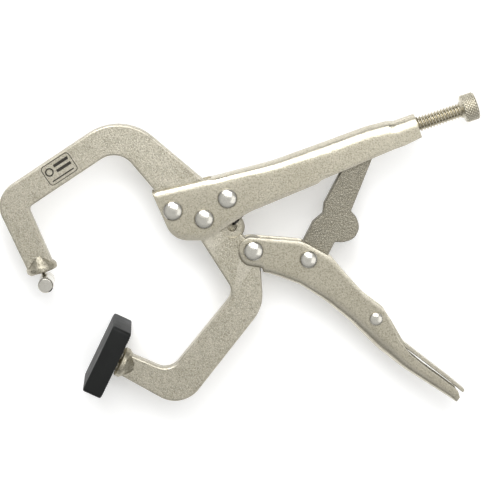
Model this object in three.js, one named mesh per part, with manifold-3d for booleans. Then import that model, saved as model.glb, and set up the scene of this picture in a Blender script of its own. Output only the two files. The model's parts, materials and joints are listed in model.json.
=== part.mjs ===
// Locking C-clamp pliers, jaws open, lying flat. Units are millimetres, +Z is up.
//
// The design frame has its origin on the main pivot's axis, halfway through the thickness.
// +X runs towards the grip end, +Y from the lower handle towards the upper one. The last
// lines stand the finished tool on Z = 0, centred over the origin.
import * as THREE from "three";
import { mergeVertices } from "three/addons/utils/BufferGeometryUtils.js";
import Module from "manifold-3d";

const wasm = await Module();
wasm.setup();

// ---------------------------------------------------------------- driving dimensions

// Sheet, plate and running clearances.
const JAW_THICKNESS = 6;
const SHEET = 1.6;
const SIDE_GAP = 0.3;
const SEAT_GAP = 0.1;
const RUNNING_GAP = 0.1;
const LINK_CLEARANCE = 0.5;
const LEVER_CLEARANCE = 0.6;

// Pivots, measured from the main pivot.
const FRONT_RIVET = [-12.4, 3.3];
const REAR_RIVET = [9.2, 8.1];
const HANDLE_PIVOT = [19.6, -13];
const SPRING_HOLE = [11.2, -3.7];
const LINK_PIVOT = [41.6, -16.6];
const LINK_TOP = [62.9, 25.5];

// Rivets.
const SHANK_RADIUS = 2.3;
const HEAD_RADIUS = 4;
const HEAD_HEIGHT = 1.9;
const SMALL_SHANK_RADIUS = 1.5;
const SMALL_HEAD_RADIUS = 2.7;
const SMALL_HEAD_HEIGHT = 1.2;

// Jaws. Both clamping points lie at the same reach from the main pivot, so that they meet.
const JAW_REACH = 68;
const UPPER_JAW_ANGLE = 202.3;
const LOWER_JAW_ANGLE = 235.1;
const UPPER_FACING = -73.7;
const LOWER_FACING = 154.2;
const FRONT_ARM_LENGTH = 30.4;
const FRONT_ARM_ANGLE = -66.5;
const HUMP = [-32.6, 35.6];
const FOOT_ARM_LENGTH = 25.8;
const FOOT_ARM_ANGLE = 152.8;
const LOWER_ELBOW = [17.2, -34.1];
const LOWER_NECK_EDGE = 22.4;
const FRONT_ARM_WIDTH = 10.4;
const UPPER_ARM_WIDTH = 11.2;
const NECK_WIDTH = 13.4;
const FOOT_ARM_WIDTH = 10;
const BOSS_RADIUS = 6.4;
const HANDLE_BOSS_RADIUS = 5.4;
const LUG_RADIUS = 5;
const SPRING_HOLE_RADIUS = 1.9;
const SPOT_FACE_DEPTH = 1.2;

// Ball swivels.
const BALL_RADIUS = 2.4;
const NECK_RADIUS = 1.25;
const BALL_COVER = 0.4;
const CUP_RADIUS = 6.2;
const CUP_LENGTH = 6.4;
const RING_WIDTH = 1.35;
const RING_THICKNESS = 0.9;
const STUD_ENTRY = 2.4;

// Bar foot of the upper jaw, and the pad of the lower jaw.
const BAR_RADIUS = 3.1;
const BAR_LENGTH = 16;
const BAR_STANDOFF = 1.7;
const PAD_SIDE = 29;
const PAD_THICKNESS = 8;
const PAD_STANDOFF = 1.3;
const PAD_PLATE_SIDE = 22;
const PAD_PLATE_THICKNESS = 2;

// Upper handle: a channel that closes into a threaded nose for the adjusting screw.
const SCREW_ANGLE = 18.3;
const SCREW_OFFSET = 8.0;
const UPPER_HANDLE_LENGTH = 92;
const NUT_LENGTH = 11;
const NUT_HEIGHT = 9.4;
const GRIP_HEIGHT = 12.4;
const NOSE_RADIUS = 9;

// Adjusting screw, quarter inch, 20 threads to the inch.
const SCREW_RADIUS = 3.175;
const SCREW_EXPOSED = 19;
const TIP_CLEARANCE = 6.4;
const KNOB_RADIUS = 5.6;
const KNOB_LENGTH = 6;
const KNOB_CHAMFER = 0.7;

// Lower handle, in its own frame: u from the handle pivot towards its tip, v across.
const LOWER_HANDLE_ANGLE = -35.9;
const LOWER_HANDLE_LENGTH = 103.3;
const LEVER_PIVOT = [56.3, 6.2];
const HANDLE_NOSE_RADIUS = 5.7;

// Release lever.
const LEVER_SHEET = 1.4;
const LEVER_OVERHANG = 0.4;

// Toggle link.
const LINK_WIDTH = 8.2;
const LINK_FOOT_WIDTH = 11.4;
const LOBE_RADIUS = 6;

// Return spring.
const COIL_RADIUS = 2.2;
const WIRE_RADIUS = 0.4;
const COIL_START = 12.5;
const COIL_LENGTH = 17.5;
const SPRING_LENGTH = 34;
const SPRING_ANGLE = 45;
const TAB_RADIUS = 0.9;

// How finely round shapes are faceted.
const ROUND = 28;
const ARC = 4;

// ---------------------------------------------------------------- derived sizes

const CHANNEL_INSIDE = JAW_THICKNESS + 2 * SIDE_GAP;
const CHANNEL_OUTSIDE = CHANNEL_INSIDE + 2 * SHEET;
const LINK_THICKNESS = CHANNEL_INSIDE - 2 * LINK_CLEARANCE;
const LEVER_WIDTH = CHANNEL_INSIDE - 2 * LEVER_CLEARANCE;
const REACH_THROUGH = 60;
const BORE_CUT = 0.5;

// ---------------------------------------------------------------- plane geometry

const radians = THREE.MathUtils.degToRad;

/** The unit vector at an angle in degrees. */
function heading(angle) {
  return [Math.cos(radians(angle)), Math.sin(radians(angle))];
}

/** A point's place: origin, plus u along the heading and v to its left. */
function place(origin, angle, u, v = 0) {
  const [x, y] = heading(angle);
  return [origin[0] + u * x - v * y, origin[1] + u * y + v * x];
}

/** Turns [u, v, radius] rows, given along a heading, into [x, y, radius] corners. */
function placed(origin, angle, rows) {
  return rows.map(([u, v, radius]) => [...place(origin, angle, u, v), radius]);
}

/** A closed shape from corners [x, y, fillet radius], each fillet a true arc. */
function rounded(corners) {
  const shape = new THREE.Shape();
  corners.forEach(([x, y, wanted], i) => {
    const here = new THREE.Vector2(x, y);
    const last = corners.at(i - 1);
    const next = corners[(i + 1) % corners.length];
    const back = new THREE.Vector2(last[0], last[1]).sub(here);
    const ahead = new THREE.Vector2(next[0], next[1]).sub(here);
    const room = 0.49 * Math.min(back.length(), ahead.length());
    back.normalize();
    ahead.normalize();
    const half = Math.acos(THREE.MathUtils.clamp(back.dot(ahead), -1, 1)) / 2;
    const radius = Math.min(wanted, room * Math.tan(half));
    if (radius < 0.05 || half > 1.55) {
      shape[i ? "lineTo" : "moveTo"](x, y);
      return;
    }
    const run = radius / Math.tan(half);
    const centre = back.clone().add(ahead).normalize();
    centre.multiplyScalar(radius / Math.sin(half)).add(here);
    const start = here.clone().addScaledVector(back, run).sub(centre);
    const end = here.clone().addScaledVector(ahead, run).sub(centre);
    if (!shape.curves.length) {
      shape[i ? "lineTo" : "moveTo"](centre.x + start.x, centre.y + start.y);
    }
    shape.absarc(centre.x, centre.y, radius, start.angle(), end.angle(), start.cross(end) < 0);
  });
  shape.closePath();
  return shape;
}

/** Where the line through a along d meets the line through b along e. */
function meeting(a, d, b, e) {
  const t = ((b[0] - a[0]) * e[1] - (b[1] - a[1]) * e[0]) / (d[0] * e[1] - d[1] * e[0]);
  return [a[0] + t * d[0], a[1] + t * d[1]];
}

/**
 * The outline of a bent bar: a centre line, the bar's width at the start and end of each
 * run, and at each bend the fillet radius on the left and on the right of the way along.
 */
function bentBar(points, widths, bends) {
  const sides = [1, -1].map((side) => {
    const edges = widths.map(([from, to], i) => {
      const a = points[i];
      const b = points[i + 1];
      const angle = THREE.MathUtils.radToDeg(Math.atan2(b[1] - a[1], b[0] - a[0]));
      const length = Math.hypot(b[0] - a[0], b[1] - a[1]);
      const start = place(a, angle, 0, (side * from) / 2);
      const end = place(a, angle, length, (side * to) / 2);
      return { start, end, way: [end[0] - start[0], end[1] - start[1]] };
    });
    const corners = bends.map((bend, i) => [
      ...meeting(edges[i].start, edges[i].way, edges[i + 1].start, edges[i + 1].way),
      side > 0 ? bend[0] : bend[1],
    ]);
    return [[...edges[0].start, 1], ...corners, [...edges.at(-1).end, 1]];
  });
  return rounded([...sides[1], ...sides[0].reverse()]);
}

// ---------------------------------------------------------------- solid geometry

/** A shape as a plate of this thickness, centred on z. */
function plate(shape, thickness, z = 0) {
  const options = { depth: thickness, bevelEnabled: false, curveSegments: ARC };
  return new THREE.ExtrudeGeometry(shape, options).translate(0, 0, z - thickness / 2);
}

/** An upright cylinder at a point in the plane. */
function post([x, y], radius, height, z = 0) {
  const made = new THREE.CylinderGeometry(radius, radius, height, ROUND);
  return made.rotateX(Math.PI / 2).translate(x, y, z);
}

/** A turned solid from [radius, distance] rows, pointing along a heading from a point. */
function turned(rows, origin, angle, segments = ROUND) {
  const profile = rows.map(([radius, along]) => new THREE.Vector2(radius, along));
  const made = new THREE.LatheGeometry(profile, segments);
  return made.rotateZ(radians(angle - 90)).translate(origin[0], origin[1], 0);
}

/** A geometry as a manifold solid. */
function solid(geometry) {
  const bare = geometry.clone();
  bare.deleteAttribute("normal");
  bare.deleteAttribute("uv");
  const merged = mergeVertices(bare, 1e-4);
  const mesh = new wasm.Mesh({
    numProp: 3,
    vertProperties: merged.attributes.position.array,
    triVerts: new Uint32Array(merged.index.array),
  });
  return new wasm.Manifold(mesh);
}

/** The geometry of a manifold solid. */
function geometryOf(made) {
  const mesh = made.getMesh();
  const geometry = new THREE.BufferGeometry();
  geometry.setAttribute("position", new THREE.BufferAttribute(mesh.vertProperties, 3));
  geometry.setIndex(new THREE.BufferAttribute(mesh.triVerts, 1));
  return geometry.toNonIndexed();
}

/** Joins the first list of geometries and cuts away the second. */
function shaped(joined, cut = []) {
  const whole = joined.map(solid).reduce((a, b) => a.add(b));
  return geometryOf(cut.map(solid).reduce((a, b) => a.subtract(b), whole));
}

// ---------------------------------------------------------------- materials

const nickel = new THREE.MeshStandardMaterial({ color: 0xbdb7a3, roughness: 0.5, metalness: 0.9 });
const bright = new THREE.MeshStandardMaterial({ color: 0xd4d2c8, roughness: 0.2, metalness: 1 });
const zinc = new THREE.MeshStandardMaterial({ color: 0xb4ae98, roughness: 0.35, metalness: 0.9 });
const wire = new THREE.MeshStandardMaterial({ color: 0x4c4a46, roughness: 0.4, metalness: 0.9 });
const rubber = new THREE.MeshStandardMaterial({ color: 0x1c1d1c, roughness: 0.6, metalness: 0 });

const pliers = new THREE.Group();

/** Adds a named piece to a group. */
function piece(name, geometry, material, group = pliers) {
  const mesh = new THREE.Mesh(geometry, material);
  mesh.name = name;
  group.add(mesh);
}

// ---------------------------------------------------------------- places shared by pieces

const upperPoint = place([0, 0], UPPER_JAW_ANGLE, JAW_REACH);
const upperFace = place(upperPoint, UPPER_FACING, -(BAR_STANDOFF + BAR_RADIUS));
const lowerPoint = place([0, 0], LOWER_JAW_ANGLE, JAW_REACH);
const lowerFace = place(lowerPoint, LOWER_FACING, -(PAD_STANDOFF + PAD_THICKNESS / 2));
const leverPivot = place(HANDLE_PIVOT, LOWER_HANDLE_ANGLE, ...LEVER_PIVOT);
const springEnd = place(SPRING_HOLE, SPRING_ANGLE, SPRING_LENGTH);

/** A point on the upper handle: s along the screw's axis, t above it. */
function onScrew(s, t = 0) {
  return place(place([0, 0], SCREW_ANGLE, 0, SCREW_OFFSET), SCREW_ANGLE, s, t);
}

// ---------------------------------------------------------------- jaws

/** The hole a rivet's shank turns or sits in. */
function rivetHole(point, radius = SHANK_RADIUS) {
  return post(point, radius + RUNNING_GAP, REACH_THROUGH);
}

const BALL_DEPTH = BALL_RADIUS + BALL_COVER;
const SOCKET_RADIUS = BALL_RADIUS + RUNNING_GAP;
const RING_RADIUS = SOCKET_RADIUS + RING_WIDTH - SEAT_GAP;

/** The round cup at a jaw's end, which holds the ball. */
function cup(face, facing) {
  const waist = JAW_THICKNESS / 2;
  const rows = [
    [0, -CUP_LENGTH],
    [waist, -CUP_LENGTH],
    [CUP_RADIUS - 0.6, -CUP_LENGTH / 2],
    [CUP_RADIUS, -CUP_LENGTH / 3],
    [CUP_RADIUS, -0.5],
    [CUP_RADIUS - 0.5, 0],
    [0, 0],
  ];
  return turned(rows, face, facing);
}

/** The stepped bore in a cup: ball socket, and the seat of its ring at the mouth. */
function cupBore(face, facing) {
  const mouth = RING_RADIUS + SEAT_GAP;
  const seat = RING_THICKNESS + 2 * SEAT_GAP;
  const floor = BALL_DEPTH + BALL_RADIUS + RUNNING_GAP;
  const rows = [
    [0, -floor],
    [SOCKET_RADIUS, -floor],
    [SOCKET_RADIUS, -seat],
    [mouth, -seat],
    [mouth, BORE_CUT],
    [0, BORE_CUT],
  ];
  return turned(rows, face, facing);
}

function fixedJaw() {
  const elbow = place(upperFace, FRONT_ARM_ANGLE + 180, FRONT_ARM_LENGTH);
  const root = [1, 1.5];
  const arms = bentBar(
    [root, HUMP, elbow, upperFace],
    [
      [NECK_WIDTH + 6, NECK_WIDTH - 2],
      [UPPER_ARM_WIDTH, UPPER_ARM_WIDTH],
      [UPPER_ARM_WIDTH, FRONT_ARM_WIDTH],
    ],
    [
      [9, 21],
      [2.5, 10],
    ],
  );
  const tongue = rounded([
    [-19.6, 10, 1],
    [-14.8, -2, 4],
    [-10.5, -5, 3],
    [-6.6, 0, 2],
    [0, 6, 3],
    [8, 3, 2],
    [14, 7.5, 3],
    [13.5, 13.5, 4],
    [0, 14.9, 4],
  ]);
  return shaped(
    [plate(arms, JAW_THICKNESS), plate(tongue, JAW_THICKNESS), cup(upperFace, UPPER_FACING)],
    [
      post([0, 0], BOSS_RADIUS + 2 * SIDE_GAP, REACH_THROUGH),
      plate(rounded(lowerSweep()), REACH_THROUGH),
      rivetHole(FRONT_RIVET),
      rivetHole(REAR_RIVET),
      cupBore(upperFace, UPPER_FACING),
    ],
  );
}

/** The ground below the fixed jaw's tongue that the lower jaw's root sweeps. */
function lowerSweep() {
  return [
    [-14, -30, 0],
    [-8, -7, 1],
    [-4, -1, 1],
    [6, 1, 1],
    [12, 4, 1],
    [24, 4, 1],
    [24, -30, 0],
  ];
}

function lowerJaw() {
  const foot = FOOT_ARM_WIDTH / 2;
  const bend = FOOT_ARM_LENGTH;
  const neck = LOWER_NECK_EDGE;
  const outline = rounded([
    [-4.5, -4, 1],
    [LOWER_ELBOW[0] - 5.2, LOWER_ELBOW[1] + 3.9, 6],
    ...placed(lowerFace, FOOT_ARM_ANGLE + 180, [
      [bend - 5.8, foot + 0.6, 7],
      [1, foot - 0.4, 0.6],
      [1, 0.4 - foot, 0.6],
      [bend + 5.8, -foot - 1.2, 12],
    ]),
    [neck + 1.3, LOWER_ELBOW[1] - 2.2, 16],
    [neck, HANDLE_PIVOT[1] - 5.5, 1.5],
    [17.4, -9.1, 0.6],
    [13, -4.4, 2],
    [4, 4, 3],
  ]);
  const spotFace = (JAW_THICKNESS - SPOT_FACE_DEPTH) / 2;
  return shaped(
    [
      plate(outline, JAW_THICKNESS),
      post([0, 0], BOSS_RADIUS, JAW_THICKNESS),
      post(HANDLE_PIVOT, HANDLE_BOSS_RADIUS, JAW_THICKNESS),
      post(SPRING_HOLE, LUG_RADIUS, JAW_THICKNESS),
      cup(lowerFace, LOWER_FACING),
    ],
    [
      rivetHole([0, 0]),
      rivetHole(HANDLE_PIVOT),
      post(SPRING_HOLE, SPRING_HOLE_RADIUS, REACH_THROUGH),
      ...[1, -1].map((side) =>
        post(SPRING_HOLE, LUG_RADIUS - 0.6, SPOT_FACE_DEPTH, side * (spotFace + SEAT_GAP)),
      ),
      cupBore(lowerFace, LOWER_FACING),
    ],
  );
}

// ---------------------------------------------------------------- handles

/** A pressed channel: outer side shape, less the space between its two cheeks. */
function channel(outer, inner, bores) {
  return shaped([plate(outer, CHANNEL_OUTSIDE)], [plate(inner, CHANNEL_INSIDE), ...bores]);
}

function upperHandle() {
  const end = UPPER_HANDLE_LENGTH;
  const nut = end - NUT_LENGTH;
  const top = GRIP_HEIGHT / 2 - 0.2;
  const roof = [
    [end, NUT_HEIGHT / 2, 1],
    [nut + 2.4, NUT_HEIGHT / 2 - 0.2, 4],
    [nut, top - 0.6, 4],
    [nut - 8.5, top, 14],
    [33, 4.8, 60],
  ];
  const outer = rounded([
    ...placed(onScrew(0), SCREW_ANGLE, [[end, -NUT_HEIGHT / 2, 1.2], ...roof]),
    [-1.6, 15, 60],
    [-20.6, 10.6, 1],
    [-12.4, -8.6, NOSE_RADIUS],
    [0, -8.6, 5],
    [14.4, 0.4, 8],
    [18.4, 2.8, 12],
    [45.2, 13.8, 1],
    [46.6, 15.2, 1],
    ...placed(onScrew(0), SCREW_ANGLE, [
      [nut - 1, -GRIP_HEIGHT / 2 + 0.4, 2],
      [nut + 4, -NUT_HEIGHT / 2 - 1, 2],
    ]),
  ]);
  const inner = rounded([
    ...placed(onScrew(0), SCREW_ANGLE, [
      [nut, -40, 0],
      [nut, top - 0.6 - SHEET, 1],
      [nut - 8.5, top - SHEET, 6],
      [33, 4.8 - SHEET, 40],
    ]),
    [1.5, 15.6 - SHEET, 4],
    [-0.5, 30, 0],
    [-40, 30, 0],
    [-40, -40, 0],
  ]);
  const screwBore = turned(
    [
      [0, nut - 1],
      [SCREW_RADIUS + RUNNING_GAP, nut - 1],
      [SCREW_RADIUS + RUNNING_GAP, end + 1],
      [0, end + 1],
    ],
    onScrew(0),
    SCREW_ANGLE,
  );
  const rivets = [FRONT_RIVET, REAR_RIVET, [0, 0]].map((point) => rivetHole(point));
  const tabBase = place(springEnd, SPRING_ANGLE + 45, 0.6);
  const tab = plate(
    rounded(
      placed(tabBase, 108, [
        [-1.6, -TAB_RADIUS, TAB_RADIUS],
        [4.2, -TAB_RADIUS, 0],
        [4.2, TAB_RADIUS, 0],
        [-1.6, TAB_RADIUS, TAB_RADIUS],
      ]),
    ),
    CHANNEL_INSIDE + SHEET,
  );
  return shaped([channel(outer, inner, [screwBore, ...rivets]), tab]);
}

/** Side outline of the lower handle's cheeks. */
function lowerCheek() {
  const r = HANDLE_NOSE_RADIUS;
  const [x, y] = HANDLE_PIVOT;
  const end = LOWER_HANDLE_LENGTH;
  return rounded([
    [x - r, y - r, r],
    [x + 3.5, y - r - 1.4, 0.8],
    [x + 3.9, y - r - 3, 0.8],
    ...placed(HANDLE_PIVOT, LOWER_HANDLE_ANGLE, [
      [15.1, -2.6, 10],
      [23.5, -0.4, 12],
      [36, 0.1, 30],
      [48.5, -0.9, 30],
      [65.2, -3.6, 30],
      [78, -4, 30],
      [end, -2.6, 0.6],
      [end, -0.2, 1.2],
      [end - 2.2, 1.6, 1.5],
      [90.3, 2.9, 20],
      [76.5, 2.7, 8],
      [69.3, 4.6, 6],
      [62.8, 8.2, 6],
      [57.5, 11, 6],
      [47, 11.2, 10],
      [38.6, 12.9, 12],
      [27, 15.8, 8],
      [13.9, 14.4, 12],
    ]),
    [x - r, y + r, r],
  ]);
}

/** The space between the cheeks: open above and at the nose, closed by the web below. */
function lowerHollow() {
  const [x, y] = HANDLE_PIVOT;
  return rounded([
    [x - 20, y - 20, 0],
    [x + 2.6, y - 20, 0],
    [x + 3.9 + SHEET, y - HANDLE_NOSE_RADIUS - 1.6, 0.5],
    ...placed(HANDLE_PIVOT, LOWER_HANDLE_ANGLE, [
      [15.5, -2.6 + SHEET, 10],
      [23.5, -0.4 + SHEET, 12],
      [36, 0.1 + SHEET, 30],
      [48.5, -0.9 + SHEET, 30],
      [65.2, -3.6 + SHEET, 30],
      [78, -4 + SHEET, 30],
      [LOWER_HANDLE_LENGTH + 6, -2.6 + SHEET, 0],
      [LOWER_HANDLE_LENGTH + 6, 40, 0],
      [-20, 40, 0],
    ]),
  ]);
}

function lowerHandle() {
  return channel(lowerCheek(), lowerHollow(), [
    rivetHole(HANDLE_PIVOT),
    rivetHole(LINK_PIVOT),
    rivetHole(leverPivot, SMALL_SHANK_RADIUS),
  ]);
}

// ---------------------------------------------------------------- toggle link and lever

const linkAngle = THREE.MathUtils.radToDeg(
  Math.atan2(LINK_TOP[1] - LINK_PIVOT[1], LINK_TOP[0] - LINK_PIVOT[0]),
);
const linkLength = Math.hypot(LINK_TOP[0] - LINK_PIVOT[0], LINK_TOP[1] - LINK_PIVOT[1]);

function toggleLink() {
  const half = LINK_WIDTH / 2;
  const footLeft = 4.9;
  const footRight = footLeft - LINK_FOOT_WIDTH;
  const outline = rounded(
    placed(LINK_PIVOT, linkAngle, [
      [-5.2, footLeft, 5],
      [-5.2, footRight, 5],
      [11, footRight, 0.5],
      [24.7, footRight - 0.3, 1.5],
      [linkLength + half, -half, half],
      [linkLength + half, half, half],
      [22.4, 4.3, 2],
      [18.6, 2.9, 1.4],
      [13.9, footLeft, 1.4],
    ]),
  );
  const lobe = place(LINK_PIVOT, linkAngle, 17.4, footRight - 0.5);
  return shaped(
    [plate(outline, LINK_THICKNESS), post(lobe, LOBE_RADIUS, LINK_THICKNESS)],
    [rivetHole(LINK_PIVOT)],
  );
}

function releaseLever() {
  const [u, v] = LEVER_PIVOT;
  const end = LOWER_HANDLE_LENGTH + LEVER_OVERHANG;
  const outline = rounded(
    placed(HANDLE_PIVOT, LOWER_HANDLE_ANGLE, [
      [u - 10.4, v + 0.4, 1.2],
      [u - 4, v - 3.4, 3],
      [u + 3.6, v - 3.6, 3],
      [71.5, 3.3, 8],
      [80, 3.1, 20],
      [96, 2.5, 10],
      [end, 1.9, 0.3],
      [end, 1.9 + LEVER_SHEET, 0.3],
      [96, 2.5 + LEVER_SHEET, 10],
      [80, 3.1 + LEVER_SHEET, 20],
      [71.5, 3.4 + LEVER_SHEET, 8],
      [u + 5, v + 3.2, 3],
      [u - 4, v + 3.4, 3],
      [u - 9.8, v + 3, 1.2],
    ]),
  );
  return shaped(
    [plate(outline, LEVER_WIDTH)],
    [rivetHole(leverPivot, SMALL_SHANK_RADIUS)],
  );
}

// ---------------------------------------------------------------- rivets

/** A rivet through both cheeks, with a domed head on each side. */
function rivet(point, shank, head, height) {
  const seat = CHANNEL_OUTSIDE / 2 + SEAT_GAP;
  const dome = [0, 0.35, 0.7, 0.9, 1].map((share) => [
    head * Math.sqrt(1 - share * share),
    seat + 0.35 + (height - 0.35) * share,
  ]);
  const upperHalf = [[shank, seat], [head, seat], ...dome];
  const lowerHalf = upperHalf.map(([radius, along]) => [radius, -along]).reverse();
  const profile = [...lowerHalf, ...upperHalf].map(([r, along]) => new THREE.Vector2(r, along));
  const made = new THREE.LatheGeometry(profile, ROUND);
  return made.rotateX(Math.PI / 2).translate(point[0], point[1], 0);
}

// ---------------------------------------------------------------- swivels, foot and pad

/** A ball stud: the ball in its cup, and a neck that ends inside the foot or pad. */
function ballStud(face, facing, reach) {
  const steps = 7;
  const ball = [];
  const neckAngle = Math.asin(NECK_RADIUS / BALL_RADIUS);
  for (let i = 0; i <= steps; i += 1) {
    const angle = Math.PI - (i / steps) * (Math.PI - neckAngle);
    const along = -BALL_DEPTH + BALL_RADIUS * Math.cos(angle);
    ball.push([i === 0 ? 0 : BALL_RADIUS * Math.sin(angle), along]);
  }
  return turned([...ball, [NECK_RADIUS, reach], [0, reach]], face, facing);
}

/** The ring that keeps the ball in its cup. */
function cupRing(face, facing) {
  const back = -(RING_THICKNESS + SEAT_GAP);
  const inner = (BALL_RADIUS + NECK_RADIUS) / 2 + 0.1;
  const rows = [
    [inner, back],
    [RING_RADIUS, back],
    [RING_RADIUS, -SEAT_GAP],
    [inner + 0.2, -SEAT_GAP],
    [inner, back],
  ];
  return turned(rows, face, facing);
}

/** The hole a stud's end sits in, from this near distance to that far one. */
function studHole(face, facing, near, far) {
  const radius = NECK_RADIUS + RUNNING_GAP;
  return turned(
    [
      [0, near],
      [radius, near],
      [radius, far],
      [0, far],
    ],
    face,
    facing,
  );
}

function barFoot() {
  const chamfer = 0.5;
  const half = BAR_LENGTH / 2;
  const rows = [
    [0, -half],
    [BAR_RADIUS - chamfer, -half],
    [BAR_RADIUS, -half + chamfer],
    [BAR_RADIUS, half - chamfer],
    [BAR_RADIUS - chamfer, half],
    [0, half],
  ];
  const profile = rows.map(([radius, along]) => new THREE.Vector2(radius, along));
  const bar = new THREE.LatheGeometry(profile, ROUND).rotateX(Math.PI / 2);
  bar.translate(upperPoint[0], upperPoint[1], 0);
  const mouth = BAR_STANDOFF - 1;
  const floor = BAR_STANDOFF + STUD_ENTRY + SIDE_GAP;
  return shaped([bar], [studHole(upperFace, UPPER_FACING, mouth, floor)]);
}

/** A square block facing along the lower jaw, from this near distance to that far one. */
function squareBlock(side, near, far, fillet) {
  const half = side / 2;
  const shape = rounded([
    [-half, -half, fillet],
    [half, -half, fillet],
    [half, half, fillet],
    [-half, half, fillet],
  ]);
  const options = { depth: far - near, bevelEnabled: false, curveSegments: ARC };
  const made = new THREE.ExtrudeGeometry(shape, options).translate(0, 0, near);
  made.rotateY(Math.PI / 2).rotateZ(radians(LOWER_FACING));
  return made.translate(lowerFace[0], lowerFace[1], 0);
}

function padCover() {
  const back = PAD_STANDOFF;
  const recess = PAD_PLATE_SIDE + 2 * SIDE_GAP;
  const floor = back + PAD_PLATE_THICKNESS + SIDE_GAP;
  return shaped(
    [squareBlock(PAD_SIDE, back, back + PAD_THICKNESS, 1.2)],
    [
      squareBlock(recess, back - 1, floor, 1),
      studHole(lowerFace, LOWER_FACING, back, floor + STUD_ENTRY),
    ],
  );
}

function padPlate() {
  const back = PAD_STANDOFF;
  return shaped(
    [squareBlock(PAD_PLATE_SIDE, back, back + PAD_PLATE_THICKNESS, 1)],
    [studHole(lowerFace, LOWER_FACING, back - 1, back + PAD_PLATE_THICKNESS + 1)],
  );
}

// ---------------------------------------------------------------- screw, knob and spring

const knobStart = UPPER_HANDLE_LENGTH + SCREW_EXPOSED;
const linkTopAlong =
  (LINK_TOP[0] - onScrew(0)[0]) * heading(SCREW_ANGLE)[0] +
  (LINK_TOP[1] - onScrew(0)[1]) * heading(SCREW_ANGLE)[1];
const screwTip = linkTopAlong + LINK_WIDTH / 2 + TIP_CLEARANCE;

function adjustingScrew() {
  const rows = [
    [0, screwTip],
    [SCREW_RADIUS - 0.8, screwTip],
    [SCREW_RADIUS, screwTip + 0.8],
    [SCREW_RADIUS, knobStart - 1.4],
    [SCREW_RADIUS - 0.4, knobStart - 1.2],
    [SCREW_RADIUS - 0.4, knobStart + KNOB_LENGTH - 1.5],
    [0, knobStart + KNOB_LENGTH - 1.5],
  ];
  return turned(rows, onScrew(0), SCREW_ANGLE);
}

function adjustingKnob() {
  const bore = SCREW_RADIUS - 0.4 + RUNNING_GAP;
  const end = knobStart + KNOB_LENGTH;
  const rows = [
    [0, end - 1.5 + SIDE_GAP],
    [bore, end - 1.5 + SIDE_GAP],
    [bore, knobStart],
    [KNOB_RADIUS - KNOB_CHAMFER, knobStart],
    [KNOB_RADIUS, knobStart + KNOB_CHAMFER],
    [KNOB_RADIUS, end - KNOB_CHAMFER],
    [KNOB_RADIUS - KNOB_CHAMFER, end],
    [0, end],
  ];
  return turned(rows, onScrew(0), SCREW_ANGLE);
}

/** The spring's coil as its outer sleeve, with a straight wire to each anchor. */
function returnSpring() {
  const close = COIL_START + COIL_LENGTH;
  const hookGap = SPRING_HOLE_RADIUS + 3.4;
  const rows = [
    [0, hookGap],
    [WIRE_RADIUS, hookGap],
    [WIRE_RADIUS, COIL_START],
    [COIL_RADIUS, COIL_START],
    [COIL_RADIUS, close],
    [WIRE_RADIUS, close],
    [WIRE_RADIUS, SPRING_LENGTH - TAB_RADIUS - 1.2],
    [0, SPRING_LENGTH - TAB_RADIUS - 1.2],
  ];
  return turned(rows, SPRING_HOLE, SPRING_ANGLE, 16);
}

// ---------------------------------------------------------------- assembly

const large = [SHANK_RADIUS, HEAD_RADIUS, HEAD_HEIGHT];
const small = [SMALL_SHANK_RADIUS, SMALL_HEAD_RADIUS, SMALL_HEAD_HEIGHT];

piece("upper_handle", upperHandle(), nickel);
piece("fixed_jaw", fixedJaw(), nickel);
piece("front_jaw_rivet", rivet(FRONT_RIVET, ...large), bright);
piece("rear_jaw_rivet", rivet(REAR_RIVET, ...large), bright);
piece("main_pivot_rivet", rivet([0, 0], ...large), bright);
piece("lower_jaw", lowerJaw(), nickel);
piece("handle_pivot_rivet", rivet(HANDLE_PIVOT, ...large), bright);
piece("lower_handle", lowerHandle(), nickel);
piece("link_rivet", rivet(LINK_PIVOT, SHANK_RADIUS, HEAD_RADIUS - 0.4, HEAD_HEIGHT), bright);
piece("lever_rivet", rivet(leverPivot, ...small), bright);
piece("toggle_link", toggleLink(), nickel);
piece("release_lever", releaseLever(), nickel);
piece("adjusting_screw", adjustingScrew(), zinc);
piece("adjusting_knob", adjustingKnob(), zinc);
piece("return_spring", returnSpring(), wire);
piece("upper_socket_ring", cupRing(upperFace, UPPER_FACING), bright);
piece("lower_socket_ring", cupRing(lowerFace, LOWER_FACING), bright);
piece(
  "upper_ball_stud",
  ballStud(upperFace, UPPER_FACING, BAR_STANDOFF + STUD_ENTRY),
  bright,
);
piece("lower_ball_stud", ballStud(lowerFace, LOWER_FACING, PAD_STANDOFF + STUD_ENTRY + 1), bright);
piece("bar_foot", barFoot(), nickel);
piece("pad_cover", padCover(), rubber);
piece("pad_plate", padPlate(), zinc);

const bounds = new THREE.Box3().setFromObject(pliers);
const centre = bounds.getCenter(new THREE.Vector3());
pliers.position.set(-centre.x, -centre.y, -bounds.min.z);

export default pliers;
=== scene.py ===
"""Looks for a pair of locking C-clamp pliers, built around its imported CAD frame.

Sizes are in millimetres in the design frame: its origin is the main pivot, halfway through
the tool's thickness, +X runs towards the grips and +Y from the lower handle to the upper
one. Every mesh is put into the row frame, in metres, as it is made.
"""

import json
import logging
import math
from dataclasses import dataclass, field
from enum import Enum

import bmesh
import bpy
import numpy as np
from mathutils import Matrix, Vector


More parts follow.
